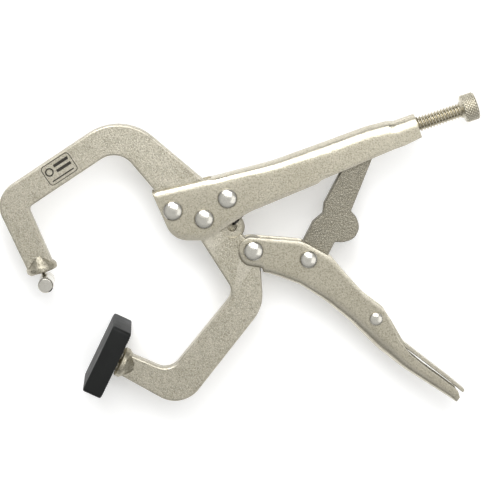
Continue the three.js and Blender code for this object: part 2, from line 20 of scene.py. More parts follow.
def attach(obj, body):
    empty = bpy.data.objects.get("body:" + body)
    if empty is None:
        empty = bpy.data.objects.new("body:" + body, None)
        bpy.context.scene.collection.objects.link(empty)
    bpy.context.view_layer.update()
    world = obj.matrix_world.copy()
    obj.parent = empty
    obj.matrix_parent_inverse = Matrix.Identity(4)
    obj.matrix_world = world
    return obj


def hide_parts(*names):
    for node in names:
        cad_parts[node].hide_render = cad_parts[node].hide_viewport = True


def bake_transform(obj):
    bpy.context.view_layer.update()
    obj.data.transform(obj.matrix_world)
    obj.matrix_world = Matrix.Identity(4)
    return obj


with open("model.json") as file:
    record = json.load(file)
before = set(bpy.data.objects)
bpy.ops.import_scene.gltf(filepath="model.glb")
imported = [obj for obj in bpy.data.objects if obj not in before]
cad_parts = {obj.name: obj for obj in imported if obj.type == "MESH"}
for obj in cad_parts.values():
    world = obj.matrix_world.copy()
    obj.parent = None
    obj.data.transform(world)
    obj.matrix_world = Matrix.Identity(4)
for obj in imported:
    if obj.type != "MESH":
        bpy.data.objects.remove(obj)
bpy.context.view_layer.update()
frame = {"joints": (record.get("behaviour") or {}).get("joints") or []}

log = logging.getLogger("pliers")

MM = 0.001
LEVEL = 0.9995  # how upright the normal of a level face is
JOINTS = {joint["name"]: joint for joint in frame["joints"]}
PIVOT = np.array(JOINTS["jaw_close"]["pos_m"], float)

Corners = list[tuple[float, float, float]]
Point = tuple[float, float]
Colour = tuple[float, float, float]

WHOLE_SIDE = 0.98  # most of a side that its only fillet may take
HALF_SIDE = 0.49  # most of a side that one of its two fillets may take
LEAST_RADIUS = 0.05  # below it a corner stays sharp
STRAIGHT = 1.55  # half angle in radians above which a corner is a straight run


# ------------------------------------------------------------------ plane geometry


def heading(angle: float) -> np.ndarray:
    """The unit vector at an angle in degrees."""
    return np.array([math.cos(math.radians(angle)), math.sin(math.radians(angle))])


def place(origin: Point, angle: float, u: float, v: float = 0.0) -> Point:
    """A point given along and across a heading.

    Args:
        origin: where the heading starts.
        angle: the heading, in degrees.
        u: distance along it.
        v: distance to its left.

    Returns:
        The point in the design frame.
    """
    x, y = heading(angle)
    return (origin[0] + u * x - v * y, origin[1] + u * y + v * x)


def placed(origin: Point, angle: float, rows: Corners) -> Corners:
    """Corners given along a heading, put into the design frame, radii kept."""
    return [(*place(origin, angle, u, v), radius) for u, v, radius in rows]


def filleted(corners: Corners, closed: bool, turn: float = 6.0) -> np.ndarray:
    """A path through corners, each rounded by an arc tangent to its two sides.

    At a corner whose sides meet at an angle a, the arc of radius r starts r / tan(a / 2)
    away from it, and its centre is r / sin(a / 2) away along the bisector.

    Args:
        corners: x, y and fillet radius of each corner.
        closed: whether the last corner joins the first.
        turn: degrees between points of an arc.

    Returns:
        The points, one row each.
    """
    stretches = []
    count = len(corners)
    for i, (x, y, wanted) in enumerate(corners):
        here = np.array([x, y], float)
        if not closed and i in (0, count - 1):
            stretches.append(here[None])
            continue
        back = np.array(corners[i - 1][:2]) - here
        ahead = np.array(corners[(i + 1) % count][:2]) - here
        alone = [not closed and end == i for end in (1, count - 2)]
        spare = [WHOLE_SIDE if one else HALF_SIDE for one in alone]
        room = min(spare[0] * np.linalg.norm(back), spare[1] * np.linalg.norm(ahead))
        back /= np.linalg.norm(back)
        ahead /= np.linalg.norm(ahead)
        half = math.acos(float(np.clip(back @ ahead, -1, 1))) / 2
        radius = min(wanted, room * math.tan(half))
        if radius < LEAST_RADIUS or half > STRAIGHT:
            stretches.append(here[None])
            continue
        bisector = (back + ahead) / np.linalg.norm(back + ahead)
        centre = here + bisector * radius / math.sin(half)
        start = here + back * radius / math.tan(half) - centre
        sweep = math.pi - 2 * half
        sign = 1.0 if back[0] * ahead[1] - back[1] * ahead[0] < 0 else -1.0
        steps = max(3, int(math.degrees(sweep) / turn) + 2)
        angles = math.atan2(start[1], start[0]) + sign * np.linspace(0, sweep, steps)
        stretches.append(centre + radius * np.column_stack([np.cos(angles), np.sin(angles)]))
    return np.concatenate(stretches)


def meeting(a: np.ndarray, d: np.ndarray, b: np.ndarray, e: np.ndarray) -> np.ndarray:
    """Where the line through a along d crosses the line through b along e."""
    t = ((b[0] - a[0]) * e[1] - (b[1] - a[1]) * e[0]) / (d[0] * e[1] - d[1] * e[0])
    return a + t * d


def bent_bar(points: list, widths: list, bends: list) -> Corners:
    """The outline of a bent bar.

    Args:
        points: the centre line.
        widths: the bar's width at the start and end of each run.
        bends: at each bend, the fillet radius on the left and on the right.

    Returns:
        Corners of the closed outline, anticlockwise.
    """
    sides = []
    for side, pick in ((1, 0), (-1, 1)):
        starts, ends = [], []
        for (wide, narrow), a, b in zip(widths, points, points[1:]):
            angle = math.degrees(math.atan2(b[1] - a[1], b[0] - a[0]))
            length = math.hypot(b[0] - a[0], b[1] - a[1])
            starts.append(np.array(place(a, angle, 0, side * wide / 2)))
            ends.append(np.array(place(a, angle, length, side * narrow / 2)))
        row = [(*starts[0], 1.0)]
        for i, bend in enumerate(bends):
            way = ends[i] - starts[i]
            onward = ends[i + 1] - starts[i + 1]
            row.append((*meeting(starts[i], way, starts[i + 1], onward), bend[pick]))
        sides.append([*row, (*ends[-1], 1.0)])
    return [*sides[1], *reversed(sides[0])]


def anticlockwise(points: np.ndarray) -> np.ndarray:
    """The points, reversed if they run clockwise (the sign of the shoelace sum)."""
    onward = np.roll(points, -1, axis=0)
    area = np.sum(points[:, 0] * onward[:, 1] - onward[:, 0] * points[:, 1])
    return points if area > 0 else points[::-1]


def without_repeats(points: np.ndarray, least: float = 0.02) -> np.ndarray:
    """A closed path with points closer than this distance to the next one dropped."""
    gap = np.linalg.norm(np.roll(points, -1, axis=0) - points, axis=1)
    return points[gap > least]


def divided(points: np.ndarray, spacing: float) -> np.ndarray:
    """A closed path with points added along its straight runs, at most spacing apart."""
    onward = np.roll(points, -1, axis=0)
    runs = np.linalg.norm(onward - points, axis=1)
    counts = np.maximum(1, np.ceil(runs / spacing).astype(int))
    index = np.repeat(np.arange(len(points)), counts)
    offset = np.concatenate([[0], np.cumsum(counts)[:-1]])
    share = (np.arange(counts.sum()) - offset[index]) / counts[index]
    return points[index] + share[:, None] * (onward - points)[index]


def inward(points: np.ndarray) -> np.ndarray:
    """For each point of an anticlockwise path, the step that insets both its sides by one."""
    ahead = np.roll(points, -1, axis=0) - points
    ahead /= np.linalg.norm(ahead, axis=1)[:, None]
    left = np.column_stack([-ahead[:, 1], ahead[:, 0]])
    total = left + np.roll(left, 1, axis=0)
    return total / np.maximum(0.3, np.sum(total * left, axis=1))[:, None]


# ------------------------------------------------------------------ meshes


@dataclass
class Surface:
    """A mesh being made: points in millimetres, faces, and each point's edge value for wear and
    painted highlight.
    """

    points: np.ndarray
    faces: list
    flat: set = field(default_factory=set)
    edge: np.ndarray | None = None

    def joined(self, other: "Surface") -> "Surface":
        """This surface and another as one mesh."""
        shift = len(self.points)
        faces = self.faces + [[i + shift for i in face] for face in other.faces]
        flat = self.flat | {i + len(self.faces) for i in other.flat}
        edge = np.concatenate([self.wear_and_sheen(), other.wear_and_sheen()])
        return Surface(np.concatenate([self.points, other.points]), faces, flat, edge)

    def wear_and_sheen(self) -> np.ndarray:
        """The edge value of each point, for wear and painted highlight, nought where none is set."""
        return np.zeros(len(self.points)) if self.edge is None else self.edge


def grid_faces(rows: int, columns: int, wrap: bool = False) -> np.ndarray:
    """Quads of a grid of points numbered row by row.

    Args:
        rows: number of rows of points.
        columns: number of points in a row.
        wrap: whether each row closes on itself.

    Returns:
        Four point numbers for each quad.
    """
    across = np.arange(columns if wrap else columns - 1)
    r, c = np.meshgrid(np.arange(rows - 1), across, indexing="ij")
    r, c = r.ravel(), c.ravel()
    n = (c + 1) % columns
    first = r * columns
    return np.column_stack([first + c, first + n, first + columns + n, first + columns + c])


def capped(points: np.ndarray, edge: np.ndarray | None = None, flat_ends: bool = True) -> Surface:
    """Quads between rings of points, with a face across the first ring and the last.

    Args:
        points: the points, ring by ring: rings x points of a ring x 3.
        edge: the edge value of each point, for wear and painted highlight.
        flat_ends: whether the two end faces are shaded flat.

    Returns:
        The closed surface.
    """
    rings, count = points.shape[:2]
    faces = grid_faces(rings, count, wrap=True).tolist()
    top = (rings - 1) * count
    faces += [list(range(count))[::-1], list(range(top, top + count))]
    flat = {len(faces) - 2, len(faces) - 1} if flat_ends else set()
    return Surface(points.reshape(-1, 3), faces, flat, edge)


def circle(centre: Point, radius: float, count: int) -> np.ndarray:
    """Points round a circle."""
    angles = np.linspace(0, 2 * np.pi, count, endpoint=False)
    return np.array(centre) + radius * np.column_stack([np.cos(angles), np.sin(angles)])


def plate(outline: np.ndarray, thickness: float, edge: float, z: float = 0.0) -> Surface:
    """A plate with rounded edges.

    The outline is carried round a quarter circle at each face: at an angle a from the side,
    it is inset by edge * (1 - cos a) and raised by edge * sin a. Flat faces close both ends.

    Args:
        outline: closed path, any direction.
        thickness: from face to face.
        edge: radius of the rounded edges.
        z: height of the middle plane.

    Returns:
        The closed surface.
    """
    path = divided(without_repeats(anticlockwise(outline)), 2.5)
    angles = np.radians([-90, -60, -30, 0, 0, 30, 60, 90])
    side = np.array([-1, -1, -1, -1, 1, 1, 1, 1])
    inset = edge * (1 - np.cos(angles))
    height = side * (thickness / 2 - edge) + edge * np.sin(angles) + z
    flat_points = path[None] + inset[:, None, None] * inward(path)[None]
    rise = np.broadcast_to(height[:, None, None], (len(height), len(path), 1))
    # Rounded edges get the highest edge values: polish wear plus a painted highlight where light
    # catches them.
    wear_and_sheen = np.repeat([0.25, 0.8, 1.0, 0.35, 0.35, 1.0, 0.8, 0.25], len(path))
    return capped(np.concatenate([flat_points, rise], axis=2), wear_and_sheen)


def turned(profile: list, centre: tuple, axis: tuple, segments: int = 64) -> Surface:
    """A lathe surface: the profile's radius carried round an axis.

    Args:
        profile: radius and distance along the axis, from axis to axis.
        centre: x, y, z where the distance is nought.
        axis: direction of the axis.
        segments: number of steps round it.

    Returns:
        The closed surface, with one point at each pole.
    """
    rows = np.array(profile, float)
    w = np.array(axis, float) / np.linalg.norm(axis)
    u = np.cross(w, [0, 0, 1] if abs(w[2]) < 0.9 else [1, 0, 0])
    u /= np.linalg.norm(u)
    v = np.cross(w, u)
    ring = rows[1:-1] if rows[0, 0] < 1e-9 else rows
    angle = np.linspace(0, 2 * np.pi, segments, endpoint=False)
    round_ = np.cos(angle)[:, None] * u + np.sin(angle)[:, None] * v
    points = ring[:, None, :1] * round_[None] + ring[:, None, 1:] * w
    points = points.reshape(-1, 3) + np.array(centre)
    faces = grid_faces(len(ring), segments, wrap=True).tolist()
    last = (len(ring) - 1) * segments
    n = np.arange(segments)
    m = (n + 1) % segments
    if len(ring) < len(rows):
        poles = np.array(centre) + rows[[0, -1], 1][:, None] * w
        low, high = len(points), len(points) + 1
        faces += np.column_stack([m, n, np.full(segments, low)]).tolist()
        faces += np.column_stack([last + n, last + m, np.full(segments, high)]).tolist()
        points = np.concatenate([points, poles])
    else:
        faces += np.column_stack([last + n, last + m, m, n]).tolist()
    return Surface(points, faces)


def softened(profile: list, radius: float) -> list:
    """A lathe profile whose inner corners are rounded by this radius."""
    corners = [(r, along, radius) for r, along in profile]
    return [tuple(p) for p in filleted(corners, closed=False, turn=22)]


def tube(path: np.ndarray, radius: float, sides: int = 10) -> Surface:
    """A round tube along a path: each ring lies across the path's direction there."""
    way = np.gradient(path, axis=0)
    way /= np.linalg.norm(way, axis=1)[:, None]
    side = np.cross(way, [0.31, 0.17, 0.93])
    side /= np.linalg.norm(side, axis=1)[:, None]
    other = np.cross(way, side)
    angle = np.linspace(0, 2 * np.pi, sides, endpoint=False)
    across, up = np.cos(angle)[None, :, None], np.sin(angle)[None, :, None]
    ring = across * side[:, None] + up * other[:, None]
    return capped(path[:, None] + radius * ring, flat_ends=False)


def as_mesh(name: str, surface: Surface) -> bpy.types.Mesh:
    """A mesh in the row frame, its faces turned outwards, with its shading and its edge values for
    wear and painted highlight.
    """
    mesh = bpy.data.meshes.new(name)
    mesh.from_pydata((surface.points * MM + PIVOT).tolist(), [], surface.faces)
    smooth = np.ones(len(surface.faces), bool)
    smooth[sorted(surface.flat)] = False
    mesh.polygons.foreach_set("use_smooth", smooth)
    wear_and_sheen = mesh.attributes.new("edge", "FLOAT", "POINT")
    wear_and_sheen.data.foreach_set("value", surface.wear_and_sheen().astype(np.float32))
    work = bmesh.new()
    work.from_mesh(mesh)
    bmesh.ops.recalc_face_normals(work, faces=work.faces)
    work.to_mesh(mesh)
    work.free()
    return mesh


def linked(name: str, content: bpy.types.ID) -> bpy.types.Object:
    """A new object with this content, linked to the scene."""
    made = bpy.data.objects.new(name, content)
    bpy.context.scene.collection.objects.link(made)
    return made


def piece(
    name: str, body: str, slot: str, material: bpy.types.Material, surface: Surface, *nodes: str
) -> bpy.types.Object:
    """Makes one closed piece in the row frame, rides it and hides the CAD nodes it stands for.

    Args:
        name: the object's name.
        body: the CAD body it rides on.
        slot: the record's material slot; not used.
        material: its finish.
        surface: its mesh in the design frame, in millimetres.
        nodes: the CAD nodes it stands for.

    Returns:
        The object.
    """
    made = linked(name, as_mesh(name, surface))
    made.data.materials.append(material)
    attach(made, body)
    if nodes:
        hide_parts(*nodes)
    log.info("%s: %d faces on %s", name, len(made.data.polygons), body)
    return made


class Change(Enum):
    """How closed surfaces change a piece's mesh."""

    JOIN = "UNION"
    CUT = "DIFFERENCE"


def change(target: bpy.types.Object, how: Change, surfaces: list[Surface]) -> None:
    """Joins closed surfaces to an object's mesh or cuts them out, and keeps the result.

    Args:
        target: the object.
        how: join or cut. What a cut leaves is shaded flat, with no edge value for wear or painted
            highlight.
        surfaces: the closed surfaces, in the design frame.
    """
    tools = []
    for surface in surfaces:
        if how is Change.CUT:
            surface = Surface(surface.points, surface.faces, set(range(len(surface.faces))))
        tool = linked("tool", as_mesh("tool", surface))
        modifier = target.modifiers.new("tool", "BOOLEAN")
        modifier.object = tool
        modifier.operation = how.value
        modifier.solver = "EXACT"
        tools.append(tool)
    bpy.context.view_layer.update()
    graph = bpy.context.evaluated_depsgraph_get()
    shaped = bpy.data.meshes.new_from_object(target.evaluated_get(graph))
    target.modifiers.clear()
    target.data = shaped
    count = len(shaped.polygons)
    normals, smooth = np.zeros(count * 3, np.float32), np.zeros(count, bool)
    shaped.polygons.foreach_get("normal", normals)
    shaped.polygons.foreach_get("use_smooth", smooth)
    shaped.polygons.foreach_set("use_smooth", smooth & (np.abs(normals[2::3]) < LEVEL))
    for tool in tools:
        bpy.data.objects.remove(tool)


# ------------------------------------------------------------------ finishes


def new_group(name: str, inputs: dict, outputs: dict) -> bpy.types.NodeTree:
    """An empty shader node group with these named sockets.

    Args:
        name: the group's name.
        inputs: socket type and default of each input.
        outputs: socket type of each output.

    Returns:
        The group, with its input and output nodes.
    """
    group = bpy.data.node_groups.new(name, "ShaderNodeTree")
    for label, (kind, default) in inputs.items():
        made = group.interface.new_socket(name=label, in_out="INPUT", socket_type=kind)
        if default is not None:
            made.default_value = default
    for label, kind in outputs.items():
        group.interface.new_socket(name=label, in_out="OUTPUT", socket_type=kind)
    group.nodes.new("NodeGroupInput")
    group.nodes.new("NodeGroupOutput")
    return group


class Graph:
    """Short ways to add nodes and links to a node tree."""

    def __init__(self, tree: bpy.types.NodeTree) -> None:
        """Works on this tree."""
        self.tree = tree

    def add(self, kind: str, **settings: object) -> bpy.types.Node:
        """A node of this kind, with its properties set."""
        node = self.tree.nodes.new(kind)
        for key, value in settings.items():
            setattr(node, key, value)
        return node

    def feed(self, node: bpy.types.Node, **inputs: object) -> bpy.types.Node:
        """Links sockets or sets values on inputs, named with _ for each space."""
        for key, value in inputs.items():
            self.put(node.inputs[key.replace("_", " ")], value)
        return node

    def group(self, kind: "Shared", **inputs: object) -> bpy.types.Node:
        """A shared group's node, with its inputs fed."""
        return self.feed(self.add("ShaderNodeGroup", node_tree=shared(kind)), **inputs)

    def put(self, target: bpy.types.NodeSocket, value: object) -> None:
        """Links one socket or sets its value."""
        if isinstance(value, bpy.types.NodeSocket):
            self.tree.links.new(value, target)
        else:
            target.default_value = value

    def noise(self, vector: object, scale: object, detail: float) -> bpy.types.NodeSocket:
        """Fractal noise at a scale per metre."""
        node = self.add("ShaderNodeTexNoise")
        self.feed(node, Vector=vector, Scale=scale, Detail=detail, Roughness=0.62)
        return node.outputs["Fac"]

    def math(self, operation: str, a: object, b: object = 0.0) -> bpy.types.NodeSocket:
        """One sum on two values."""
        node = self.add("ShaderNodeMath", operation=operation)
        self.put(node.inputs[0], a)
        self.put(node.inputs[1], b)
        return node.outputs[0]

    def between(self, value: object, low: float, high: float, start: float, end: float) -> object:
        """The value carried from low..high to start..end, and held at the ends."""
        node = self.add("ShaderNodeMapRange", clamp=True)
        self.feed(node, Value=value, From_Min=low, From_Max=high, To_Min=start, To_Max=end)
        return node.outputs["Result"]

    def tint(self, share: object, a: object, b: object) -> bpy.types.NodeSocket:
        """A blend of two colours."""
        node = self.add("ShaderNodeMix", data_type="RGBA")
        for socket, value in zip((node.inputs[0], node.inputs[6], node.inputs[7]), (share, a, b)):
            self.put(socket, value)
        return node.outputs[2]


def grain_group() -> bpy.types.NodeTree:
    """Cast grain under plating: coarse bumps, fine bumps and slow mottling."""
    group = new_group(
        "plated_grain",
        {"Vector": ("NodeSocketVector", None), "Grain": ("NodeSocketFloat", 1500.0)},
        {name: "NodeSocketFloat" for name in ("Height", "Speckle", "Pit", "Mottle")},
    )
    g = Graph(group)
    source = group.nodes["Group Input"].outputs
    coarse = g.noise(source["Vector"], source["Grain"], 2.0)
    fine = g.noise(source["Vector"], g.math("MULTIPLY", source["Grain"], 2.7), 2.0)
    height = g.math("ADD", g.math("MULTIPLY", coarse, 0.65), g.math("MULTIPLY", fine, 0.35))
    slow = g.noise(source["Vector"], g.math("MULTIPLY", source["Grain"], 0.045), 3.0)
    sink = group.nodes["Group Output"]
    g.put(sink.inputs["Height"], height)
    g.put(sink.inputs["Speckle"], g.between(fine, 0.50, 0.60, 0.0, 1.0))
    g.put(sink.inputs["Pit"], g.between(coarse, 0.51, 0.40, 0.0, 1.0))
    g.put(sink.inputs["Mottle"], g.between(slow, 0.32, 0.68, 0.0, 1.0))
    return group


def wear_and_sheen_group() -> bpy.types.NodeTree:
    """Edges lit up by polish wear and by a painted highlight: the edge mask broken up by noise."""
    group = new_group(
        "polished_edge",
        {"Vector": ("NodeSocketVector", None), "Amount": ("NodeSocketFloat", 0.6)},
        {"Mask": "NodeSocketFloat"},
    )
    g = Graph(group)
    source = group.nodes["Group Input"].outputs
    edge = g.add("ShaderNodeAttribute", attribute_name="edge").outputs["Fac"]
    patchy = g.between(g.noise(source["Vector"], 260.0, 3.0), 0.3, 0.7, 0.45, 1.0)
    mask = g.math("MULTIPLY", g.math("MULTIPLY", edge, patchy), source["Amount"])
    g.put(group.nodes["Group Output"].inputs["Mask"], mask)
    return group


class Shared(Enum):
    """The node groups that finishes share."""

    GRAIN = "plated_grain"
    WEAR_AND_SHEEN = "polished_edge"


def shared(kind: Shared) -> bpy.types.NodeTree:
    """The node group of this kind, made the first time it is asked for."""
    found = bpy.data.node_groups.get(kind.value)
    if found is None:
        found = grain_group() if kind is Shared.GRAIN else wear_and_sheen_group()
    return found


def blank_material(name: str) -> tuple[bpy.types.Material, Graph, bpy.types.Node]:
    """A new material, its graph and its surface shader."""
    material = bpy.data.materials.new(name)
    material.use_nodes = True
    return material, Graph(material.node_tree), material.node_tree.nodes["Principled BSDF"]


@dataclass(frozen=True)
class MetalFinish:
    """Plated metal with grain, mottling, and edges painted bright by a mask: partly polish wear,
    partly a painted highlight.
    """

    name: str
    colour: Colour
    shade: Colour
    roughness: float
    grain: float
    relief: float
    polish_and_sheen: float
    speckle: float = 0.5
    bright: Colour = (0.80, 0.76, 0.66)
    pits: float = 0.6
    dark: Colour = (0.16, 0.145, 0.105)

    def build(self) -> bpy.types.Material:
        """The material, made from its shared groups and a metal shader."""
        material, g, shader = blank_material(self.name)
        where = g.add("ShaderNodeTexCoord").outputs["Object"]
        grain = g.group(Shared.GRAIN, Vector=where, Grain=self.grain).outputs
        mask = g.group(Shared.WEAR_AND_SHEEN, Vector=where, Amount=self.polish_and_sheen).outputs["Mask"]
        bright, dark = (*self.bright, 1), (*self.dark, 1)
        mottled = g.tint(grain["Mottle"], (*self.shade, 1), (*self.colour, 1))
        pitted = g.tint(g.math("MULTIPLY", grain["Pit"], self.pits), mottled, dark)
        dusted = g.tint(g.math("MULTIPLY", grain["Speckle"], self.speckle), pitted, bright)
        # Masked edges get the bright colour: partly polish wear, partly a painted highlight on
        # rounded edges.
        colour = g.tint(mask, dusted, bright)
        dull, smooth = self.roughness + 0.05, self.roughness - 0.04
        spread = g.between(grain["Mottle"], 0, 1, dull, smooth)
        rough = g.math("SUBTRACT", spread, g.math("MULTIPLY", mask, self.roughness * 0.45))
        bump = g.feed(
            g.add("ShaderNodeBump"),
            Height=grain["Height"],
            Distance=self.relief * MM,
            Strength=g.between(mask, 0, 1, 1.0, 0.35),
        )
        normal = bump.outputs["Normal"]
        g.feed(shader, Base_Color=colour, Roughness=rough, Metallic=1.0, Normal=normal)
        return material


@dataclass(frozen=True)
class PadFinish:
    """Satin black moulded plastic with a fine texture."""

    name: str = "black_pad"
    dark: Colour = (0.002, 0.0022, 0.0021)
    scuff_and_sheen: Colour = (0.012, 0.014, 0.013)
    grain: float = 1900.0
    relief: float = 0.03
    polish_and_sheen: float = 0.7
    gloss: float = 0.28

    def build(self) -> bpy.types.Material:
        """The material: dark plastic, lighter at its edges by scuffing and a painted highlight, with
        a moulded grain.
        """
        material, g, shader = blank_material(self.name)
        where = g.add("ShaderNodeTexCoord").outputs["Object"]
        grain = g.group(Shared.GRAIN, Vector=where, Grain=self.grain).outputs
        mask = g.group(Shared.WEAR_AND_SHEEN, Vector=where, Amount=self.polish_and_sheen).outputs["Mask"]
        scuff_and_sheen = (*self.scuff_and_sheen, 1)
        base = g.tint(g.math("MULTIPLY", grain["Mottle"], 0.3), (*self.dark, 1), scuff_and_sheen)
        # The edge mask lightens rounded edges: scuffing plus a painted highlight.
        colour = g.tint(mask, base, scuff_and_sheen)
        rough = g.between(grain["Mottle"], 0, 1, 0.5, 0.62)
        bump = g.add("ShaderNodeBump")
        g.feed(bump, Height=grain["Height"], Distance=self.relief * MM, Strength=0.8)
        g.feed(shader, Base_Color=colour, Roughness=rough, Normal=bump.outputs["Normal"])
        shader.inputs["Specular IOR Level"].default_value = self.gloss
        return material


FINISHES = {
    "forging": MetalFinish(
        "nickel_forging", (0.42, 0.39, 0.305), (0.335, 0.31, 0.235), 0.40, 1450.0,
        relief=0.2, polish_and_sheen=0.75,
    ),
    "sheet": MetalFinish(
        "nickel_sheet", (0.50, 0.465, 0.37), (0.40, 0.37, 0.285), 0.34, 1350.0,
        relief=0.1, polish_and_sheen=0.8, speckle=0.32, pits=0.42,
    ),
    "link": MetalFinish(
        "link_steel", (0.22, 0.205, 0.16), (0.15, 0.14, 0.11), 0.44, 1050.0,
        relief=0.3, polish_and_sheen=0.4, speckle=0.75, bright=(0.5, 0.47, 0.39), pits=0.85,
    ),
    "bright": MetalFinish(
        "bright_steel", (0.72, 0.70, 0.64), (0.62, 0.60, 0.54), 0.17, 900.0,
        relief=0.015, polish_and_sheen=0.3, speckle=0.05, pits=0.06,
    ),
    "screw": MetalFinish(
        "screw_zinc", (0.47, 0.43, 0.33), (0.35, 0.32, 0.24), 0.30, 1400.0,
        relief=0.03, polish_and_sheen=0.9, speckle=0.05, pits=0.06,
    ),
    "wire": MetalFinish(
        "spring_wire", (0.14, 0.13, 0.12), (0.08, 0.075, 0.07), 0.32, 1500.0,
        relief=0.02, polish_and_sheen=0.3, speckle=0.05, bright=(0.3, 0.3, 0.28), pits=0.0,
    ),
    "etch": MetalFinish(
        "etched_mark", (0.075, 0.07, 0.06), (0.05, 0.046, 0.04), 0.5, 1500.0,
        relief=0.05, polish_and_sheen=0.1, speckle=0.03, bright=(0.2, 0.19, 0.17), pits=0.0,
    ),
}


# ------------------------------------------------------------------ sizes that pieces share


@dataclass(frozen=True)
class Layout:
    """Places and sizes that more than one piece uses, as the solids have them."""

    jaw_thickness: float = 6.0
    channel_outside: float = 9.8
    sheet: float = 1.6
    link_thickness: float = 5.6
    front_rivet: Point = (-12.4, 3.3)
    rear_rivet: Point = (9.2, 8.1)
    handle_pivot: Point = (19.6, -13.0)
    spring_hole: Point = (11.2, -3.7)
    link_pivot: Point = (41.6, -16.6)
    link_top: Point = (62.9, 25.5)
    reach: float = 68.0
    upper_jaw_angle: float = 202.3
    lower_jaw_angle: float = 235.1
    upper_facing: float = -73.7
    lower_facing: float = 154.2
    screw_angle: float = 18.3
    screw_offset: float = 8.0
    handle_end: float = 92.0
    nut_length: float = 11.0
    lower_angle: float = -35.9
    lower_length: float = 103.3
    lever_pivot_uv: Point = (56.3, 6.2)

    @property
    def upper_point(self) -> Point:
        """Middle of the bar foot."""
        return place((0, 0), self.upper_jaw_angle, self.reach)

    @property
    def upper_face(self) -> Point:
        """Middle of the fixed jaw's cup face."""
        return place(self.upper_point, self.upper_facing, -4.8)

    @property
    def lower_face(self) -> Point:
        """Middle of the lower jaw's cup face."""
        return place(place((0, 0), self.lower_jaw_angle, self.reach), self.lower_facing, -5.3)

    @property
    def lever_pivot(self) -> Point:
        """The release lever's pivot."""
        return place(self.handle_pivot, self.lower_angle, *self.lever_pivot_uv)

    def on_screw(self, s: float = 0.0, t: float = 0.0) -> Point:
        """A point along the screw's axis and above it."""
        return place(place((0, 0), self.screw_angle, 0, self.screw_offset), self.screw_angle, s, t)

    def at_screw(self, rows: Corners) -> Corners:
        """Corners given along the screw's axis."""
        return placed(self.on_screw(), self.screw_angle, rows)

    def at_lower(self, rows: Corners) -> Corners:
        """Corners given along the lower handle."""
        return placed(self.handle_pivot, self.lower_angle, rows)


PLAN = Layout()


def flat_axis(angle: float) -> tuple[float, float, float]:
    """A heading in the plane of the tool, as a direction in space."""
    x, y = heading(angle)
    return (float(x), float(y), 0.0)


# ------------------------------------------------------------------ jaws


@dataclass
class Cup:
    """The round cup at a jaw's end, with its ball socket and retaining ring."""

    face: Point
    facing: float
    radius: float = 6.2
    length: float = 6.4
    mouth: float = 3.9
    socket: float = 2.5
    seat: float = 1.1
    floor: float = 5.3
    ball: float = 2.4
    neck: float = 1.25
    ball_depth: float = 2.8

    def surface(self) -> Surface:
        """Trumpet turned about the stud's axis, its bore stepped for the ring."""
        rows = [
            (0, -self.length - 1.5),
            (2.9, -self.length - 1.5),
            (3.0, -self.length),
            (self.radius - 1.5, -self.length * 0.62),
            (self.radius, -self.length / 3),
            (self.radius, -0.5),
            (self.radius - 0.5, 0),
            (self.mouth + 0.25, 0),
            (self.mouth, -0.25),
            (self.mouth, -self.seat),
            (self.socket, -self.seat),
            (self.socket, -self.floor),
            (0, -self.floor),
        ]
        return turned(softened(rows, 0.55), (*self.face, 0), flat_axis(self.facing))

    def ring(self) -> Surface:
        """The pressed ring that keeps the ball in, square with soft corners."""
        rows = [(1.93, -0.98), (3.75, -0.98), (3.75, -0.24), (3.6, -0.1)]
        rows += [(2.25, -0.1), (2.05, -0.3)]
        return turned(rows, (*self.face, 0), flat_axis(self.facing), 48)

    def stud(self, reach: float) -> Surface:
        """Ball and neck: a circle's arc from the back pole, then a straight neck."""
        angles = np.linspace(math.pi, math.asin(self.neck / self.ball), 16)[1:]
        rows = [(self.ball * math.sin(a), self.ball * math.cos(a) - self.ball_depth) for a in angles]
        rows = [(0, -self.ball - self.ball_depth), *rows, (self.neck, reach), (0, reach)]
        return turned(rows, (*self.face, 0), flat_axis(self.facing), 40)

    def bore(self) -> Surface:
        """What the cup's bore takes out of the jaw's plate."""
        rows = [(0, -5.2), (self.socket, -5.2), (self.socket, -self.seat), (self.mouth, -self.seat)]
        rows += [(self.mouth, 1.0), (0, 1.0)]
        return turned(rows, (*self.face, 0), flat_axis(self.facing), 48)


